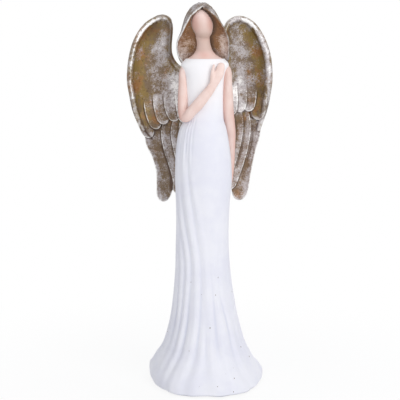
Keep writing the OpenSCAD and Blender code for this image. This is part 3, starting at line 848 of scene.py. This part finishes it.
def build_hair(material):
    outer_end, rim_end, inner_end = 0.56, 0.60, 0.96

    def rim_roll(rim, inward, back, thickness, share):
        spin = math.pi * share
        return (rim + inward * thickness * 0.5 * (1 - math.cos(spin)) - back * thickness * 0.6 * math.sin(spin))

    def place(u, v):
        row = along(HAIR, v)
        past_left, past_right, depth = along(HAIR_FULLNESS, v)
        left, right, apex = Vector(row[0:3]), Vector(row[3:6]), Vector(row[6:9])
        middle, half = (left + right) / 2, (right - left) / 2
        reach = apex - middle
        back = reach.normalized()
        across = half.normalized()
        thickness = RIM_WIDTH * smooth(0, 0.08, v)
        if u < outer_end:
            share = u / outer_end
            past = math.radians(mix(past_left, past_right, smooth(0.2, 0.8, share)))
            turn = mix(math.pi + math.radians(past_left), -math.radians(past_right), share)
            side, out = math.cos(turn) / math.cos(past), (math.sin(turn) + math.sin(past)) / (1 + math.sin(past))
            p = middle + half * side + reach * out
            normal = (across * math.cos(turn) * reach.length + back * math.sin(turn) * half.length).normalized()
            fade = smooth(0.02, 0.2, v) * smooth(0, 0.06, share) * smooth(0, 0.06, 1 - share)
            parting = 0.9 * bump(share, 0.5, 0.035) * smooth(0, 0.05, v) * (1 - smooth(0.25, 0.5, v))
            lift = strands(turn, v) * mix(0.3, 1.25, smooth(-0.2, 0.9, math.sin(turn)))
            return p + normal * (lift * fade - parting)
        if u < rim_end:
            return rim_roll(right, -across, back, thickness, (u - outer_end) / (rim_end - outer_end))
        if u < inner_end:
            turn = math.pi * (u - rim_end) / (inner_end - rim_end)
            width = half.length - thickness
            p = middle + across * width * math.cos(turn) + back * depth * math.sin(turn) ** 0.8
            if v > 0:
                p.y = max(p.y, behind_head(p.x, p.z))
            return p
        return rim_roll(left, across, back, thickness, 1 - (u - inner_end) / (1 - inner_end))

    obj = to_object("hair_locks", wrap(340, 150, place), "hair", material)
    add_relief(obj, 5, 24, 0.32)

    arch = [[row[1], row[3]] for row in HAIR[::-1]] + [[row[4], row[6]] for row in HAIR]
    arch_line = line_points(arch, 300)
    rims = np.array(sorted([row[3], row[1], row[4]] for row in HAIR))
    heights = np.linspace(hair_low.z, hair_high.z, 120)
    slices = np.array([max(head_slice(z), neck_slice(z)) for z in heights])

    def masks(x, y, z, normal_y):
        left, right = np.interp(z, rims[:, 0], rims[:, 1]), np.interp(z, rims[:, 0], rims[:, 2])
        top = rims[-1, 0]
        hollow = soft(left + 0.2, left + 1.2, x) * soft(right - 0.2, right - 1.2, x)
        hollow *= soft(top, top - 1, z) * soft(0.3, -0.1, normal_y)
        from_head = np.abs(x - np.interp(z, heights, slices[:, 2])) - np.interp(z, heights, slices[:, 0])
        right_side = soft(-2, 2, x)
        # Painted shade in the hollow close to the head and neck, darker on the +X side.
        deep = (0.35 + 0.45 * right_side) * soft(3.0 + 3 * right_side, 0.5, from_head) * soft(256, 264, z)
        # A painted highlight along the rim's arch, weaker on the +X side.
        crest = peak(from_line(arch_line, x, z)[0], 0.2, 0.55) * soft(0.5, -0.2, normal_y)
        crest *= 1 - right_side * (0.5 + 0.3 * soft(284, 276, z))
        curl = peak(np.hypot(x - 0.2, z - 296.0), 0, 2.0) * soft(0, -4, y)
        low = soft(271, 260, z)
        outward = soft(5 - right_side, 10.5 - right_side, from_head)
        inner = -0.25 + (0.75 + 0.2 * right_side) * outward + 0.85 * low
        # shade darkens the curl and the outer locks a little and paints shade in the hollow by the head; bright
        # is a painted highlight along the rim, taken away at the curl.
        return {
            "shade": (0.6 * curl + 0.2) * (1 - hollow) + deep * hollow,
            "silver": (0.65 - 0.1 * right_side) * (1 - hollow) + inner * hollow,
            "gold": (0.5 + 0.25 * low) * hollow,
            "warm": 0.05 + (0.85 - 0.25 * low) * hollow,
            "bright": 0.75 * crest - curl,
        }

    add_masks(obj, masks)


# ---------------------------------------------------------------- arms

def limb(path, sides, steps):
    """A limb with round ends, swept along rows of x, y, z, half width, half thickness (front to back)."""
    rows = rows_by_length(path)
    end, near = 0.04, 0.01

    def place(u, v):
        s = min(1.0, max(0.0, (v - end) / (1 - 2 * end)))
        t = min(1.0, v / end, (1 - v) / end)
        size = math.sqrt(max(0, 1 - (1 - t) ** 2))
        x, y, z, wide, thick = along(rows, s)
        ahead = Vector(along(rows, min(1, s + near))[:3])
        behind = Vector(along(rows, max(0, s - near))[:3])
        direction = (ahead - behind).normalized()
        across = direction.cross(Vector((0, 1, 0))).normalized()
        through = direction.cross(across)
        cap = (1 - t) * min(wide, thick) * (-1 if s == 0 else 1)
        turn = 2 * math.pi * u
        return (Vector((x, y, z)) + direction * cap + across * wide * size * math.cos(turn)
                + through * thick * size * math.sin(turn))

    return wrap(sides, steps, place)


ARM_VOXEL = 0.33


def build_right_arm(material):
    arm = [
        [-16.3, 0.6, 251.2, 2.2, 2.2],
        [-16.8, 0.4, 249.0, 2.9, 3.3],
        [-17.2, 0.0, 245.0, 3.3, 3.7],
        [-17.1, -0.8, 238.0, 3.6, 3.8],
        [-17.2, -2.2, 230.0, 3.95, 3.9],
        [-17.4, -3.8, 222.5, 3.9, 4.0],
        [-17.0, -5.6, 216.5, 3.9, 4.1],
        [-16.0, -7.4, 213.2, 3.9, 4.0],
        [-13.6, -9.6, 214.2, 4.0, 3.9],
        [-10.6, -11.0, 218.0, 4.0, 3.8],
        [-6.1, -12.4, 222.9, 4.3, 3.5],
        [-1.1, -13.0, 229.0, 4.0, 3.1],
        [3.2, -12.8, 234.4, 3.55, 2.7],
        [6.0, -12.2, 238.6, 3.25, 2.3],
        [8.0, -11.6, 242.0, 3.4, 2.1],
        [9.9, -10.9, 245.8, 3.7, 2.0],
        [11.2, -10.0, 249.6, 3.4, 1.8],
        [12.2, -9.3, 253.6, 2.5, 1.4],
    ]
    thumb = [
        [4.8, -12.2, 239.6, 1.6, 1.6],
        [5.2, -12.3, 243.6, 1.75, 1.6],
        [5.4, -12.0, 247.6, 1.5, 1.4],
        [5.8, -11.6, 250.4, 1.25, 1.2],
        [6.2, -11.3, 253.2, 0.9, 0.9],
    ]
    bm = limb(arm, 36, 150)
    merge_into(bm, limb(thumb, 24, 40))
    obj = to_object("right_arm_and_hand", fused(bm, ARM_VOXEL, 6), "right_arm", material)

    # Pink on the elbow and a little over the lower arm, and painted shade along the arm's outer side and the
    # forearm's lower edge.
    def blush_and_shade(p):
        elbow = 0.6 * bump((p - Vector((-17, -6, 213))).length, 0, 6)
        outer = 0.5 * smooth(-17.5, -20.8, p.x)
        low = 0.5 * smooth(0, 1, (p.x * 0.6 - (p.z - 224) * 0.8 + 2) / 9) * smooth(215, 219, p.z)
        return min(1, elbow + outer + low * smooth(10, 2, p.x) + 0.12 * smooth(246, 238, p.z))

    add_mask(obj, "blush_and_shade", blush_and_shade)


def build_left_arm(material):
    path = [
        [16.0, 0.4, 251.6, 2.2, 2.2],
        [16.4, 0.2, 249.0, 3.2, 3.2],
        [16.9, 0.0, 244.5, 3.6, 3.6],
        [17.1, 0.2, 238.0, 3.6, 3.7],
        [17.1, 0.8, 231.0, 4.1, 4.0],
        [17.2, 1.6, 224.0, 4.45, 4.2],
        [17.7, 2.6, 215.5, 4.4, 4.2],
        [18.8, 4.0, 208.0, 4.1, 4.0],
        [19.8, 5.6, 201.0, 3.75, 3.7],
        [20.2, 7.4, 193.0, 3.4, 3.4],
        [20.2, 9.0, 185.0, 3.1, 3.1],
        [20.2, 10.4, 177.0, 2.8, 2.9],
        [19.9, 11.2, 170.0, 2.7, 3.4],
        [19.4, 11.8, 163.0, 2.4, 3.6],
        [18.8, 12.2, 157.5, 1.8, 2.6],
    ]
    bm = limb(path, 40, 120)
    bmesh.ops.subdivide_edges(bm, edges=bm.edges, cuts=1, use_grid_fill=True)
    obj = to_object("left_arm_and_hand", bm, "left_arm", material)

    # Pink on the hand and elbow, and painted shade along the arm's inner side by the body and along its outer
    # side.
    def blush_and_shade(p):
        inner = 0.55 * smooth(17.5, 13.5, p.x)
        outer = 0.5 * smooth(20.5, 23.5, p.x)
        hand = 0.4 * smooth(190, 160, p.z)
        elbow = 0.4 * bump(p.z, 214, 8) * smooth(18, 22, p.x)
        return min(1, inner + outer + hand + elbow + 0.1)

    add_mask(obj, "blush_and_shade", blush_and_shade)


# ---------------------------------------------------------------- wings

WING_PIN_SIDE = 13
WING_VOXEL = 0.47
PRIMARIES = 4  # the long feathers, which come first; the coverts lie over them


def wing_base(x, z, reach):
    """The y of the wing's dished middle surface at a distance x from the body's middle plane."""
    back, clearance, sweep = 12.3, 0.6, 5
    body_depth = along(GOWN, body_share(min(z, neckline_z)))[1]
    out = max(0.0, (x - WING_PIN_SIDE) / (reach - WING_PIN_SIDE))
    return max(back, body_depth + clearance) + sweep * (1.9 * math.sin(math.radians(150 * out)) - 1.25 * out)


def wing_shell(outline, reach, rim):
    """The smooth upper wing, dished towards its rolled rim: rows of height, inner edge and outer edge."""
    thickness, dish, dish_width = 3.2, 3.4, 9.0
    low_z, high_z = outline[0][0], outline[-1][0]

    def place(u, v):
        z = mix(low_z, high_z, 0.5 - 0.5 * math.cos(math.pi * v))
        inner, outer = along(outline, z)
        t, face = (u / 0.5, 0.0) if u < 0.5 else ((1 - u) / 0.5, 1.0)
        across = 0.5 - 0.5 * math.cos(math.pi * t)
        x = mix(inner, outer, across)
        fade = max(0.0, 4 * across * (1 - across)) ** 0.25
        sink = 2.2 * smooth(low_z + 16, low_z, z) * fade
        gap = math.sqrt(((rim[:, 0] - x) ** 2 + (rim[:, 1] - z) ** 2).min())
        rise = dish * max(0.0, 1 - gap / dish_width) ** 2 * smooth(low_z, low_z + 25, z)
        y = wing_base(x, z, reach) + (face - 0.5) * thickness * fade + 0.5 * thickness
        return Vector((x, y + sink * (1 - face) - rise, z))

    return wrap(110, 110, place)


def wing_roll(points, reach):
    """The thick rolled rim: rows of x, z, radius and how far it stands forward."""
    back = 1.2
    path = [[x, wing_base(x, z, reach) + back - forward, z, radius, radius] for x, z, radius, forward in points]
    return limb(path, 20, 160)


def feather_shape(points):
    """A function of the share down a feather: its middle, the way across to its outer side, its half width."""
    rows = rows_by_length([[x, 0.0, z, half] for x, z, half in points])
    length = sum(math.dist(p[:2], q[:2]) for p, q in zip(points, points[1:]))
    tip_round, root_end, near = 1.5, 0.06, 0.01
    tip_start = 1 - tip_round * points[-1][2] / length

    def shape(v):
        tip = math.sqrt(max(0.0, 1 - ((max(v, tip_start) - tip_start) / (1 - tip_start)) ** 2.4))
        root = math.sqrt(min(1.0, v / root_end))
        x, _, z, half = along(rows, v)
        ahead = along(rows, min(1, v + near))
        behind = along(rows, max(0, v - near))
        direction = Vector((ahead[0] - behind[0], 0, ahead[2] - behind[2])).normalized()
        return Vector((x, 0, z)), direction.cross(Vector((0, 1, 0))), half * tip * root

    return shape, tip_start


def feather(points, reach, lift, root_lift):
    """A feather along rows of x, z, half width; it rises from root_lift at its root to lift at its tip."""
    shape, tip_start = feather_shape(points)
    rim, thick, back = 0.8, 2.0, 1.4

    def place(u, v):
        middle, across, half = shape(v)
        t, front = math.cos(2 * math.pi * u), math.sin(2 * math.pi * u)
        p = middle + across * half * t
        raised = mix(root_lift, lift, smooth(0.15, 0.75, v))
        edge = max(abs(t) ** 4 * (1 if t > 0 else 0.5), smooth(tip_start, 0.99, v) ** 1.5)
        bevel = math.copysign(abs(front) ** 0.6, front)
        p.y = wing_base(p.x, p.z, reach) + back - raised - bevel * thick * 0.5
        if front > 0:
            p.y -= rim * (edge - 0.4)
        return p

    return wrap(44, 110, place)


def feather_outline(points):
    """The feather's outline as x and height: down its outer side, then up its inner side."""
    shape, _ = feather_shape(points)
    steps = 90
    found = [shape(0.02 + 0.98 * i / steps) for i in range(steps + 1)]
    outer = [middle + across * half for middle, across, half in found]
    inner = [middle - across * half for middle, across, half in found]
    return np.array([[p.x, p.z] for p in outer + inner[::-1]])


# Both wings are drawn with x out from the middle; the right one is mirrored when it is built.
RIGHT_SHELL = [
    # height, inner edge, outer edge
    [200.0, 17.0, 48.0], [207.0, 11.0, 52.0], [217.0, 7.0, 55.8], [229.5, 5.5, 59.0], [239.0, 6.0, 60.2],
    [246.0, 14.5, 60.2], [251.0, 20.6, 59.9], [257.5, 25.6, 59.0], [266.7, 27.2, 57.4], [273.0, 26.8, 54.6],
    [279.0, 26.0, 51.2], [284.6, 25.8, 46.8], [287.8, 26.8, 42.0], [290.4, 30.0, 37.0],
]
RIGHT_ROLL = [
    # x, height, radius, forward
    [28.3, 262.0, 1.7, 0.2], [27.9, 270.0, 2.0, 0.6], [27.3, 278.0, 2.1, 0.9], [27.6, 283.4, 2.2, 1.2],
    [29.8, 287.2, 2.3, 1.6], [33.2, 288.7, 2.3, 2.0], [37.5, 287.5, 2.3, 2.2], [42.0, 285.0, 2.4, 2.4],
    [47.0, 280.8, 2.5, 2.6], [51.0, 275.4, 2.5, 2.7], [54.6, 268.0, 2.5, 2.8], [57.2, 258.0, 2.5, 2.8],
    [58.5, 248.0, 2.5, 2.8], [58.7, 239.0, 2.5, 2.8], [57.4, 229.5, 2.4, 2.6], [55.4, 218.0, 2.2, 2.3],
    [51.4, 206.0, 1.9, 2.0], [46.6, 196.6, 1.5, 1.4],
]
RIGHT_INNER_ROLL = [
    [28.8, 285.2, 1.6, 0.6], [27.6, 278.0, 2.0, 0.6], [28.2, 268.0, 2.1, 0.4], [27.7, 260.0, 2.1, 0.2],
    [24.2, 252.8, 2.2, 0.0], [18.4, 247.9, 2.3, 0.0], [12.0, 244.4, 2.3, 0.0], [8.0, 238.0, 2.0, 0.0],
]
RIGHT_FEATHERS = [
    # points of x, height, half width; lift at the tip; lift at the root
    ([[36.4, 206.0, 7.0], [39.6, 194.0, 8.4], [35.4, 180.0, 7.2], [32.4, 167.0, 7.0], [32.2, 156.0, 6.9],
      [33.3, 148.5, 5.9], [34.2, 142.2, 4.9]], 0.6, 0.0),
    ([[25.0, 214.0, 4.2], [29.6, 200.0, 5.4], [27.8, 186.0, 5.6], [24.2, 172.0, 4.8], [21.8, 160.0, 4.2],
      [22.8, 149.4, 3.6]], 1.8, 0.8),
    ([[19.5, 214.0, 4.0], [22.8, 200.0, 4.6], [21.2, 187.0, 4.6], [18.6, 174.0, 4.2], [17.0, 163.0, 3.6],
      [16.6, 155.0, 3.0]], 2.8, 1.6),
    ([[14.5, 214.0, 4.0], [16.8, 201.0, 4.4], [15.4, 190.0, 4.4], [13.4, 178.0, 4.0], [12.4, 168.0, 3.2]],
     3.4, 2.2),
    ([[52.6, 240.0, 4.6], [52.4, 228.0, 5.2], [50.2, 214.0, 5.6], [46.8, 203.0, 5.2], [43.0, 194.4, 4.6]],
     2.2, -1.6),
    ([[43.4, 240.0, 4.6], [43.6, 228.0, 5.2], [42.4, 217.0, 5.4], [40.2, 208.4, 5.0], [37.4, 201.4, 4.6]],
     3.2, -1.6),
    ([[36.2, 242.0, 4.4], [36.6, 231.0, 5.0], [35.6, 220.0, 5.2], [33.8, 212.0, 5.0], [31.4, 205.4, 4.6]],
     4.0, -1.6),
    ([[27.0, 244.0, 4.6], [28.0, 232.0, 5.2], [27.0, 221.0, 5.4], [25.2, 213.8, 5.0], [23.0, 208.0, 4.6]],
     4.8, -1.6),
    ([[17.0, 244.0, 4.6], [18.2, 232.0, 5.4], [17.6, 221.0, 5.6], [16.4, 213.0, 5.4], [15.4, 206.6, 4.8]],
     5.4, -1.6),
]

RIGHT_SILVER = [[29.0, 282.0], [31.0, 272.0], [36.0, 258.0], [37.0, 244.0], [33.0, 230.0], [30.0, 218.0]]
RIGHT_GROOVES = [[[34.6, 187.0], [30.4, 175.0], [27.8, 163.0], [27.2, 152.0]], [[47.6, 200.0], [42.6, 193.6]],
                 [[40.0, 200.5], [36.6, 200.2]], [[33.0, 204.6], [30.4, 204.4]]]

LEFT_SHELL = [
    [206.0, 12.0, 44.0], [212.0, 8.0, 46.0], [217.0, 6.5, 47.6], [229.5, 5.5, 49.8], [239.0, 6.0, 51.2],
    [246.0, 8.5, 51.4], [251.0, 11.5, 51.0], [257.5, 13.2, 50.0], [263.6, 13.6, 48.6], [272.8, 13.4, 45.4],
    [279.0, 13.6, 41.6], [285.0, 16.0, 36.0], [288.0, 19.4, 32.6], [289.6, 23.0, 28.0],
]
LEFT_ROLL = [
    [15.4, 262.0, 1.7, 0.0], [15.2, 270.0, 2.0, 0.5], [15.4, 276.0, 2.2, 0.9], [17.0, 281.6, 2.4, 1.3],
    [20.4, 285.6, 2.5, 1.7], [25.8, 287.4, 2.6, 2.1], [31.9, 286.0, 2.6, 2.3], [37.2, 282.1, 2.7, 2.5],
    [41.7, 275.8, 2.8, 2.6], [45.1, 268.6, 2.9, 2.7], [47.8, 259.8, 3.0, 2.8], [49.2, 250.0, 3.0, 2.8],
    [49.3, 239.0, 3.0, 2.8], [48.2, 229.0, 2.8, 2.6], [46.6, 218.0, 2.4, 2.0], [44.0, 208.0, 1.9, 1.2],
    [42.0, 201.0, 1.6, 0.8],
]
LEFT_INNER_ROLL = [
    [15.4, 276.0, 1.8, 0.3], [15.2, 266.0, 2.0, 0.2], [15.4, 257.0, 2.1, 0.0], [14.0, 250.0, 2.2, 0.0],
    [11.0, 244.4, 2.2, 0.0], [8.0, 238.0, 2.0, 0.0],
]
LEFT_FEATHERS = [
    ([[35.6, 210.0, 8.0], [35.4, 198.0, 8.2], [32.9, 184.0, 7.2], [30.2, 168.0, 6.8], [28.2, 155.0, 6.8],
      [26.8, 143.5, 6.5]], 0.6, 0.0),
    ([[29.4, 218.0, 4.2], [31.0, 205.0, 5.0], [29.6, 190.0, 5.2], [26.4, 176.0, 5.0], [22.8, 164.0, 4.6],
      [19.4, 153.0, 3.6]], 1.8, 0.8),
    ([[23.6, 220.0, 4.2], [25.4, 206.0, 4.8], [24.0, 192.0, 4.8], [21.2, 179.0, 4.4], [18.4, 168.0, 4.0],
      [16.0, 158.0, 3.2]], 2.8, 1.6),
    ([[17.4, 218.0, 4.2], [19.0, 205.0, 4.6], [17.6, 192.0, 4.6], [15.4, 180.0, 4.2], [13.4, 170.0, 3.4]],
     3.4, 2.2),
    ([[41.6, 246.0, 4.6], [42.6, 234.0, 5.4], [42.4, 223.0, 5.8], [41.6, 216.0, 5.4], [40.4, 208.8, 4.6]],
     2.2, -1.6),
    ([[33.8, 248.0, 4.4], [35.2, 236.0, 4.8], [35.2, 227.0, 4.9], [34.6, 221.0, 4.6], [33.2, 215.4, 4.0]],
     3.2, -1.6),
    ([[25.8, 248.0, 4.4], [27.4, 237.0, 4.8], [27.8, 228.0, 4.9], [27.6, 221.0, 4.6], [26.6, 214.8, 4.0]],
     4.0, -1.6),
    ([[17.6, 248.0, 4.4], [19.6, 237.0, 4.8], [20.6, 228.0, 4.9], [20.8, 220.0, 4.6], [20.4, 212.6, 4.0]],
     4.8, -1.6),
]

LEFT_SILVER = [[24.0, 278.0], [25.0, 266.0], [28.0, 254.0], [30.0, 240.0], [27.0, 226.0], [25.0, 216.0]]
LEFT_GROOVES = [[[30.4, 208.0], [30.6, 196.0], [28.6, 184.0], [25.0, 172.0]],
                [[37.6, 204.0], [37.0, 190.0], [33.6, 176.0]], [[24.6, 205.0], [24.0, 192.0], [21.4, 180.0]]]


# How the leaf differs: crest_in is how far inside the rim's middle line its painted highlight on the crest lies,
# and glint how bright that is; top_end is where along the rim the broad painted highlight at the top fades;
# rim_silver is an amount, a place inside the rim and a width; the rest are amounts, named for the place and the
# mask, where a shade amount is painted shade and a bright amount a painted highlight.
RIGHT_WING = SimpleNamespace(
    side=-1, shell=RIGHT_SHELL, roll=RIGHT_ROLL, inner_roll=RIGHT_INNER_ROLL, feathers=RIGHT_FEATHERS,
    silver_line=RIGHT_SILVER, grooves=RIGHT_GROOVES, crest_in=0.5, glint=0.68, top_glint=0.75,
    top_end=(0.46, 0.38), top_shade=0.8, rim_silver=(0.25, 1.2, 1.2), channel_silver=0.25, channel_shade=0.45,
    groove_shade=0.8, arm_silver=0.85, arm_bright=0.6, covert_silver=-0.12, covert_gold=-0.15,
    low_silver=0.2, low_gold=-0.5, low_shade=0.15, low_warm=0.0,
)
LEFT_WING = SimpleNamespace(
    side=1, shell=LEFT_SHELL, roll=LEFT_ROLL, inner_roll=LEFT_INNER_ROLL, feathers=LEFT_FEATHERS,
    silver_line=LEFT_SILVER, grooves=LEFT_GROOVES, crest_in=-0.4, glint=0.36, top_glint=0.9,
    top_end=(0.42, 0.32), top_shade=0.35, rim_silver=(0.75, 0, 2.6), channel_silver=0.0, channel_shade=0.1,
    groove_shade=0.65, arm_silver=0.5, arm_bright=0.45, covert_silver=0.0, covert_gold=-0.35,
    low_silver=0.25, low_gold=-0.2, low_shade=0.0, low_warm=0.15,
)


def wing_masks(wing, rim):
    """A function for add_masks() that says where a wing's leaf is silver or gold, and where shade and highlights
    are painted on it.
    """
    inner, middle = line_points(wing.inner_roll), line_points(wing.silver_line)
    cuts = [line_points(line, 60) for line in wing.grooves]
    outlines = [feather_outline(points) for points, *_ in wing.feathers]
    low_z = wing.shell[0][0]

    def by_feather(x, z):
        """Which feather is foremost at each point, -1 for none, and the painted shadow, painted highlight and
        silver lines of each.
        """
        owner = np.full(len(x), -1)
        found = []
        for i, outline in enumerate(outlines):
            distance, share, _ = from_line(outline, x, z)
            down = 1 - np.abs(2 * share - 1)
            shown = soft(0.25, 0.5, down) if i >= PRIMARIES else soft(0.0, 0.1, down)
            inside = is_within(outline, x, z) & (shown > 0.05)
            owner[inside] = i
            found.append((distance, share, down, shown, inside))
        cast_shadow, edge, stripe = (np.zeros(len(x)) for _ in range(3))
        for i, (distance, share, down, shown, inside) in enumerate(found):
            # The smooth shell lies in front of the primaries and behind the coverts.
            behind = ~inside & (owner < i) & ((owner >= 0) | (i >= PRIMARIES))
            # Painted shadow: a dark line on a feather just outside the edge of one that lies in front of it.
            cast_shadow = np.maximum(cast_shadow, behind * shown * peak(distance, 0.1, 0.9))
            own = (owner == i) * shown * np.where((share < 0.5) | (down > 0.93), 1.0, 0.2)
            # A painted highlight along the feather's own edge, and a silver stripe a little further in.
            edge += own * peak(distance, 0.5, 0.55)
            stripe += own * peak(distance, 2.0, 1.6)
        return owner, cast_shadow, edge, stripe

    def masks(x, y, z, normal_y):
        x = wing.side * x
        front = soft(0.0, 0.6, -normal_y)
        owner, cast_shadow, edge, stripe = by_feather(x, z)
        gap, share, turn = from_line(rim, x, z)
        gap = -turn * gap
        inner_gap, inner_share, _ = from_line(inner, x, z)
        on_rim = soft(0.14, 0.24, share) * (owner < PRIMARIES) * (z > low_z)
        upper = soft(low_z - 4, low_z + 14, z)
        at_top = soft(0.22, 0.3, share) * soft(*wing.top_end, share)
        # Painted highlights: a glint along the rim's crest, and a broad one over the rim's top.
        crest = wing.glint * peak(gap, wing.crest_in, 0.6) * on_rim * front * soft(1.02, 0.75, share)
        crest += wing.top_glint * at_top * peak(gap, 0.2, 1.6) * front
        # The channel just outside the crest: painted shade on both wings, and some silver on the right wing.
        channel = peak(gap, wing.crest_in - 1.9, 1.0) * on_rim * (1 - 0.8 * at_top)
        olive = peak(gap, 6, 4) * upper * soft(0.2, 0.33, share)
        bulge = peak(inner_gap, 0, 3.4) * (1 - soft(0.5, 0.8, inner_share))
        leafed = peak(from_line(middle, x, z)[0], 0, 7.5) * upper
        by_arm = peak(x, 23, 6) * peak(z, 231, 15)
        lower = soft(low_z + 10, low_z - 6, z)
        # Painted shade along the grooves between feathers.
        groove = np.max([peak(from_line(line, x, z)[0], 0, 1.2) for line in cuts], axis=0)
        # Painted shade over the top of the dish, away from the rim.
        top = soft(262, 284, z) * (1 - peak(gap, 0, 3))
        covert = owner >= PRIMARIES
        rim_silver, rim_place, rim_width = wing.rim_silver
        # shade is painted shade, on the lower feathers too for the right wing, and bright painted highlights;
        # gold, silver and warm are the leaf's own colours.
        return {
            "shade": 0.65 * bulge + wing.channel_shade * channel + wing.top_shade * top * (1 - leafed)
            + wing.groove_shade * np.maximum(groove, cast_shadow) * front + wing.low_shade * lower,
            "bright": crest + wing.arm_bright * by_arm + 0.5 * edge * front,
            "gold": 0.55 + 0.4 * olive + 0.3 * bulge - 0.25 * leafed + wing.low_gold * lower
            + wing.covert_gold * covert,
            "silver": 0.12 + 0.55 * leafed + 0.35 * stripe - 0.25 * olive - 0.5 * bulge - 0.3 * top
            + wing.arm_silver * by_arm + wing.low_silver * lower + wing.covert_silver * covert
            + wing.channel_silver * channel + rim_silver * peak(gap, rim_place, rim_width) * on_rim,
            "warm": 0.1 + wing.low_warm * lower,
        }

    return masks


def build_wing(name, node, wing, reach, material):
    rim = line_points(wing.roll)
    bm = wing_shell(wing.shell, reach, rim)
    for roll in (wing.roll, wing.inner_roll):
        merge_into(bm, wing_roll(roll, reach))
    for points, lift, root_lift in wing.feathers:
        merge_into(bm, feather(points, reach, lift, root_lift))
    if wing.side < 0:
        bmesh.ops.scale(bm, vec=(-1, 1, 1), verts=bm.verts)
        bmesh.ops.reverse_faces(bm, faces=bm.faces)
    obj = to_object(name, fused(bm, WING_VOXEL, 3), node, material)
    add_relief(obj, 6, 40)
    add_masks(obj, wing_masks(wing, rim))


# ---------------------------------------------------------------- the scene around it

def build_stage():
    bm = bmesh.new()
    bmesh.ops.create_grid(bm, x_segments=1, y_segments=1, size=3.0)
    floor = bpy.data.objects.new("floor", bpy.data.meshes.new("floor"))
    bm.to_mesh(floor.data)
    bm.free()
    bpy.context.scene.collection.objects.link(floor)
    material = bpy.data.materials.new("pale_floor")
    material.use_nodes = True
    g = Graph(material.node_tree)
    nodes = material.node_tree.nodes
    shader = nodes["Principled BSDF"]
    set_inputs(shader, {"Base Color": (0.9, 0.9, 0.9, 1), "Roughness": 0.9})
    glow = g.node("ShaderNodeEmission")
    glow.inputs["Color"].default_value = (1, 1, 1, 1)
    seen = g.seen_plainly()
    away = g.node("ShaderNodeVectorMath", operation="LENGTH")
    g.link(g.node("ShaderNodeTexCoord").outputs["Object"], away.inputs[0])
    share = g.math("ADD", 0.88, g.math("MULTIPLY", 0.12, g.ramp(away.outputs["Value"], 0.06, 0.3)))
    both = g.node("ShaderNodeMixShader")
    g.link(g.math("MULTIPLY", seen, share), both.inputs[0])
    g.link(shader.outputs[0], both.inputs[1])
    g.link(glow.outputs[0], both.inputs[2])
    g.link(both.outputs[0], nodes["Material Output"].inputs["Surface"])
    floor.data.materials.append(material)


def build_world():
    world = bpy.data.worlds.new("studio")
    bpy.context.scene.world = world
    world.use_nodes = True
    g = Graph(world.node_tree)
    nodes = world.node_tree.nodes
    plain = nodes["Background"]
    set_inputs(plain, {"Color": (0.93, 0.95, 1.0, 1), "Strength": 0.52})
    white = g.node("ShaderNodeBackground")
    white.inputs["Color"].default_value = (1, 1, 1, 1)
    both = g.node("ShaderNodeMixShader")
    g.link(g.seen_plainly(), both.inputs[0])
    g.link(plain.outputs[0], both.inputs[1])
    g.link(white.outputs[0], both.inputs[2])
    g.link(both.outputs[0], nodes["World Output"].inputs["Surface"])


FIGURE_MIDDLE, CHEST = (0, 0, 0.16), (0, 0, 0.23)
LAMPS = [
    # name, place and target in metres, size in metres, power in watts
    ("key", (0.75, -1.0, 0.75), FIGURE_MIDDLE, 0.8, 7.6),
    ("fill", (-1.0, -0.9, 0.5), FIGURE_MIDDLE, 0.9, 2.3),
    ("top", (0.1, 0.2, 1.3), FIGURE_MIDDLE, 0.8, 2.5),
    ("back", (0.3, 1.2, 0.6), FIGURE_MIDDLE, 0.9, 3),
    ("near", (0.02, -0.24, 0.40), CHEST, 0.14, 0.035),
]


def aim(obj, place, target):
    obj.location = place
    obj.rotation_euler = (Vector(target) - Vector(place)).to_track_quat("-Z", "Y").to_euler()
    bpy.context.scene.collection.objects.link(obj)


def build_lights():
    for name, place, target, size, power in LAMPS:
        lamp = bpy.data.lights.new(name, "AREA")
        lamp.size = size
        lamp.energy = power
        aim(bpy.data.objects.new(name, lamp), place, target)


def build_camera():
    distance, height, look_at, side = 900, 300, 147.5, -4.2
    camera = bpy.data.cameras.new("camera")
    camera.sensor_width = 36.0
    camera.lens = 104.9
    obj = bpy.data.objects.new("camera", camera)
    aim(obj, Vector((side, -distance, height)) * MM, Vector((side, 0, look_at)) * MM)
    bpy.context.scene.camera = obj


# ---------------------------------------------------------------- putting it together

def main():
    gown = gown_material(pinholes_group())
    skin = skin_material()
    leaf = leaf_group()
    wing_leaf = leaf_material("worn_wing_leaf_and_painted_light", leaf)
    hair_leaf = leaf_material("worn_hair_leaf_and_painted_light", leaf)
    build_gown(gown)
    build_head(skin)
    build_hair(hair_leaf)
    build_right_arm(skin)
    build_left_arm(skin)
    build_wing("right_wing_feathers", "right_wing", RIGHT_WING, -box_mm("right_wing")[0].x, wing_leaf)
    build_wing("left_wing_feathers", "left_wing", LEFT_WING, box_mm("left_wing")[1].x, wing_leaf)
    for node, material in {
        "neck_pin": steel_material(), "arm_pins": steel_material(), "wing_pins": steel_material(),
        "felt_pad": felt_material(),
    }.items():
        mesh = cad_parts[node].data
        mesh.materials.clear()
        mesh.materials.append(material)
    build_stage()
    build_world()
    build_lights()
    build_camera()
    bpy.context.scene.view_settings.view_transform = "Standard"


main()
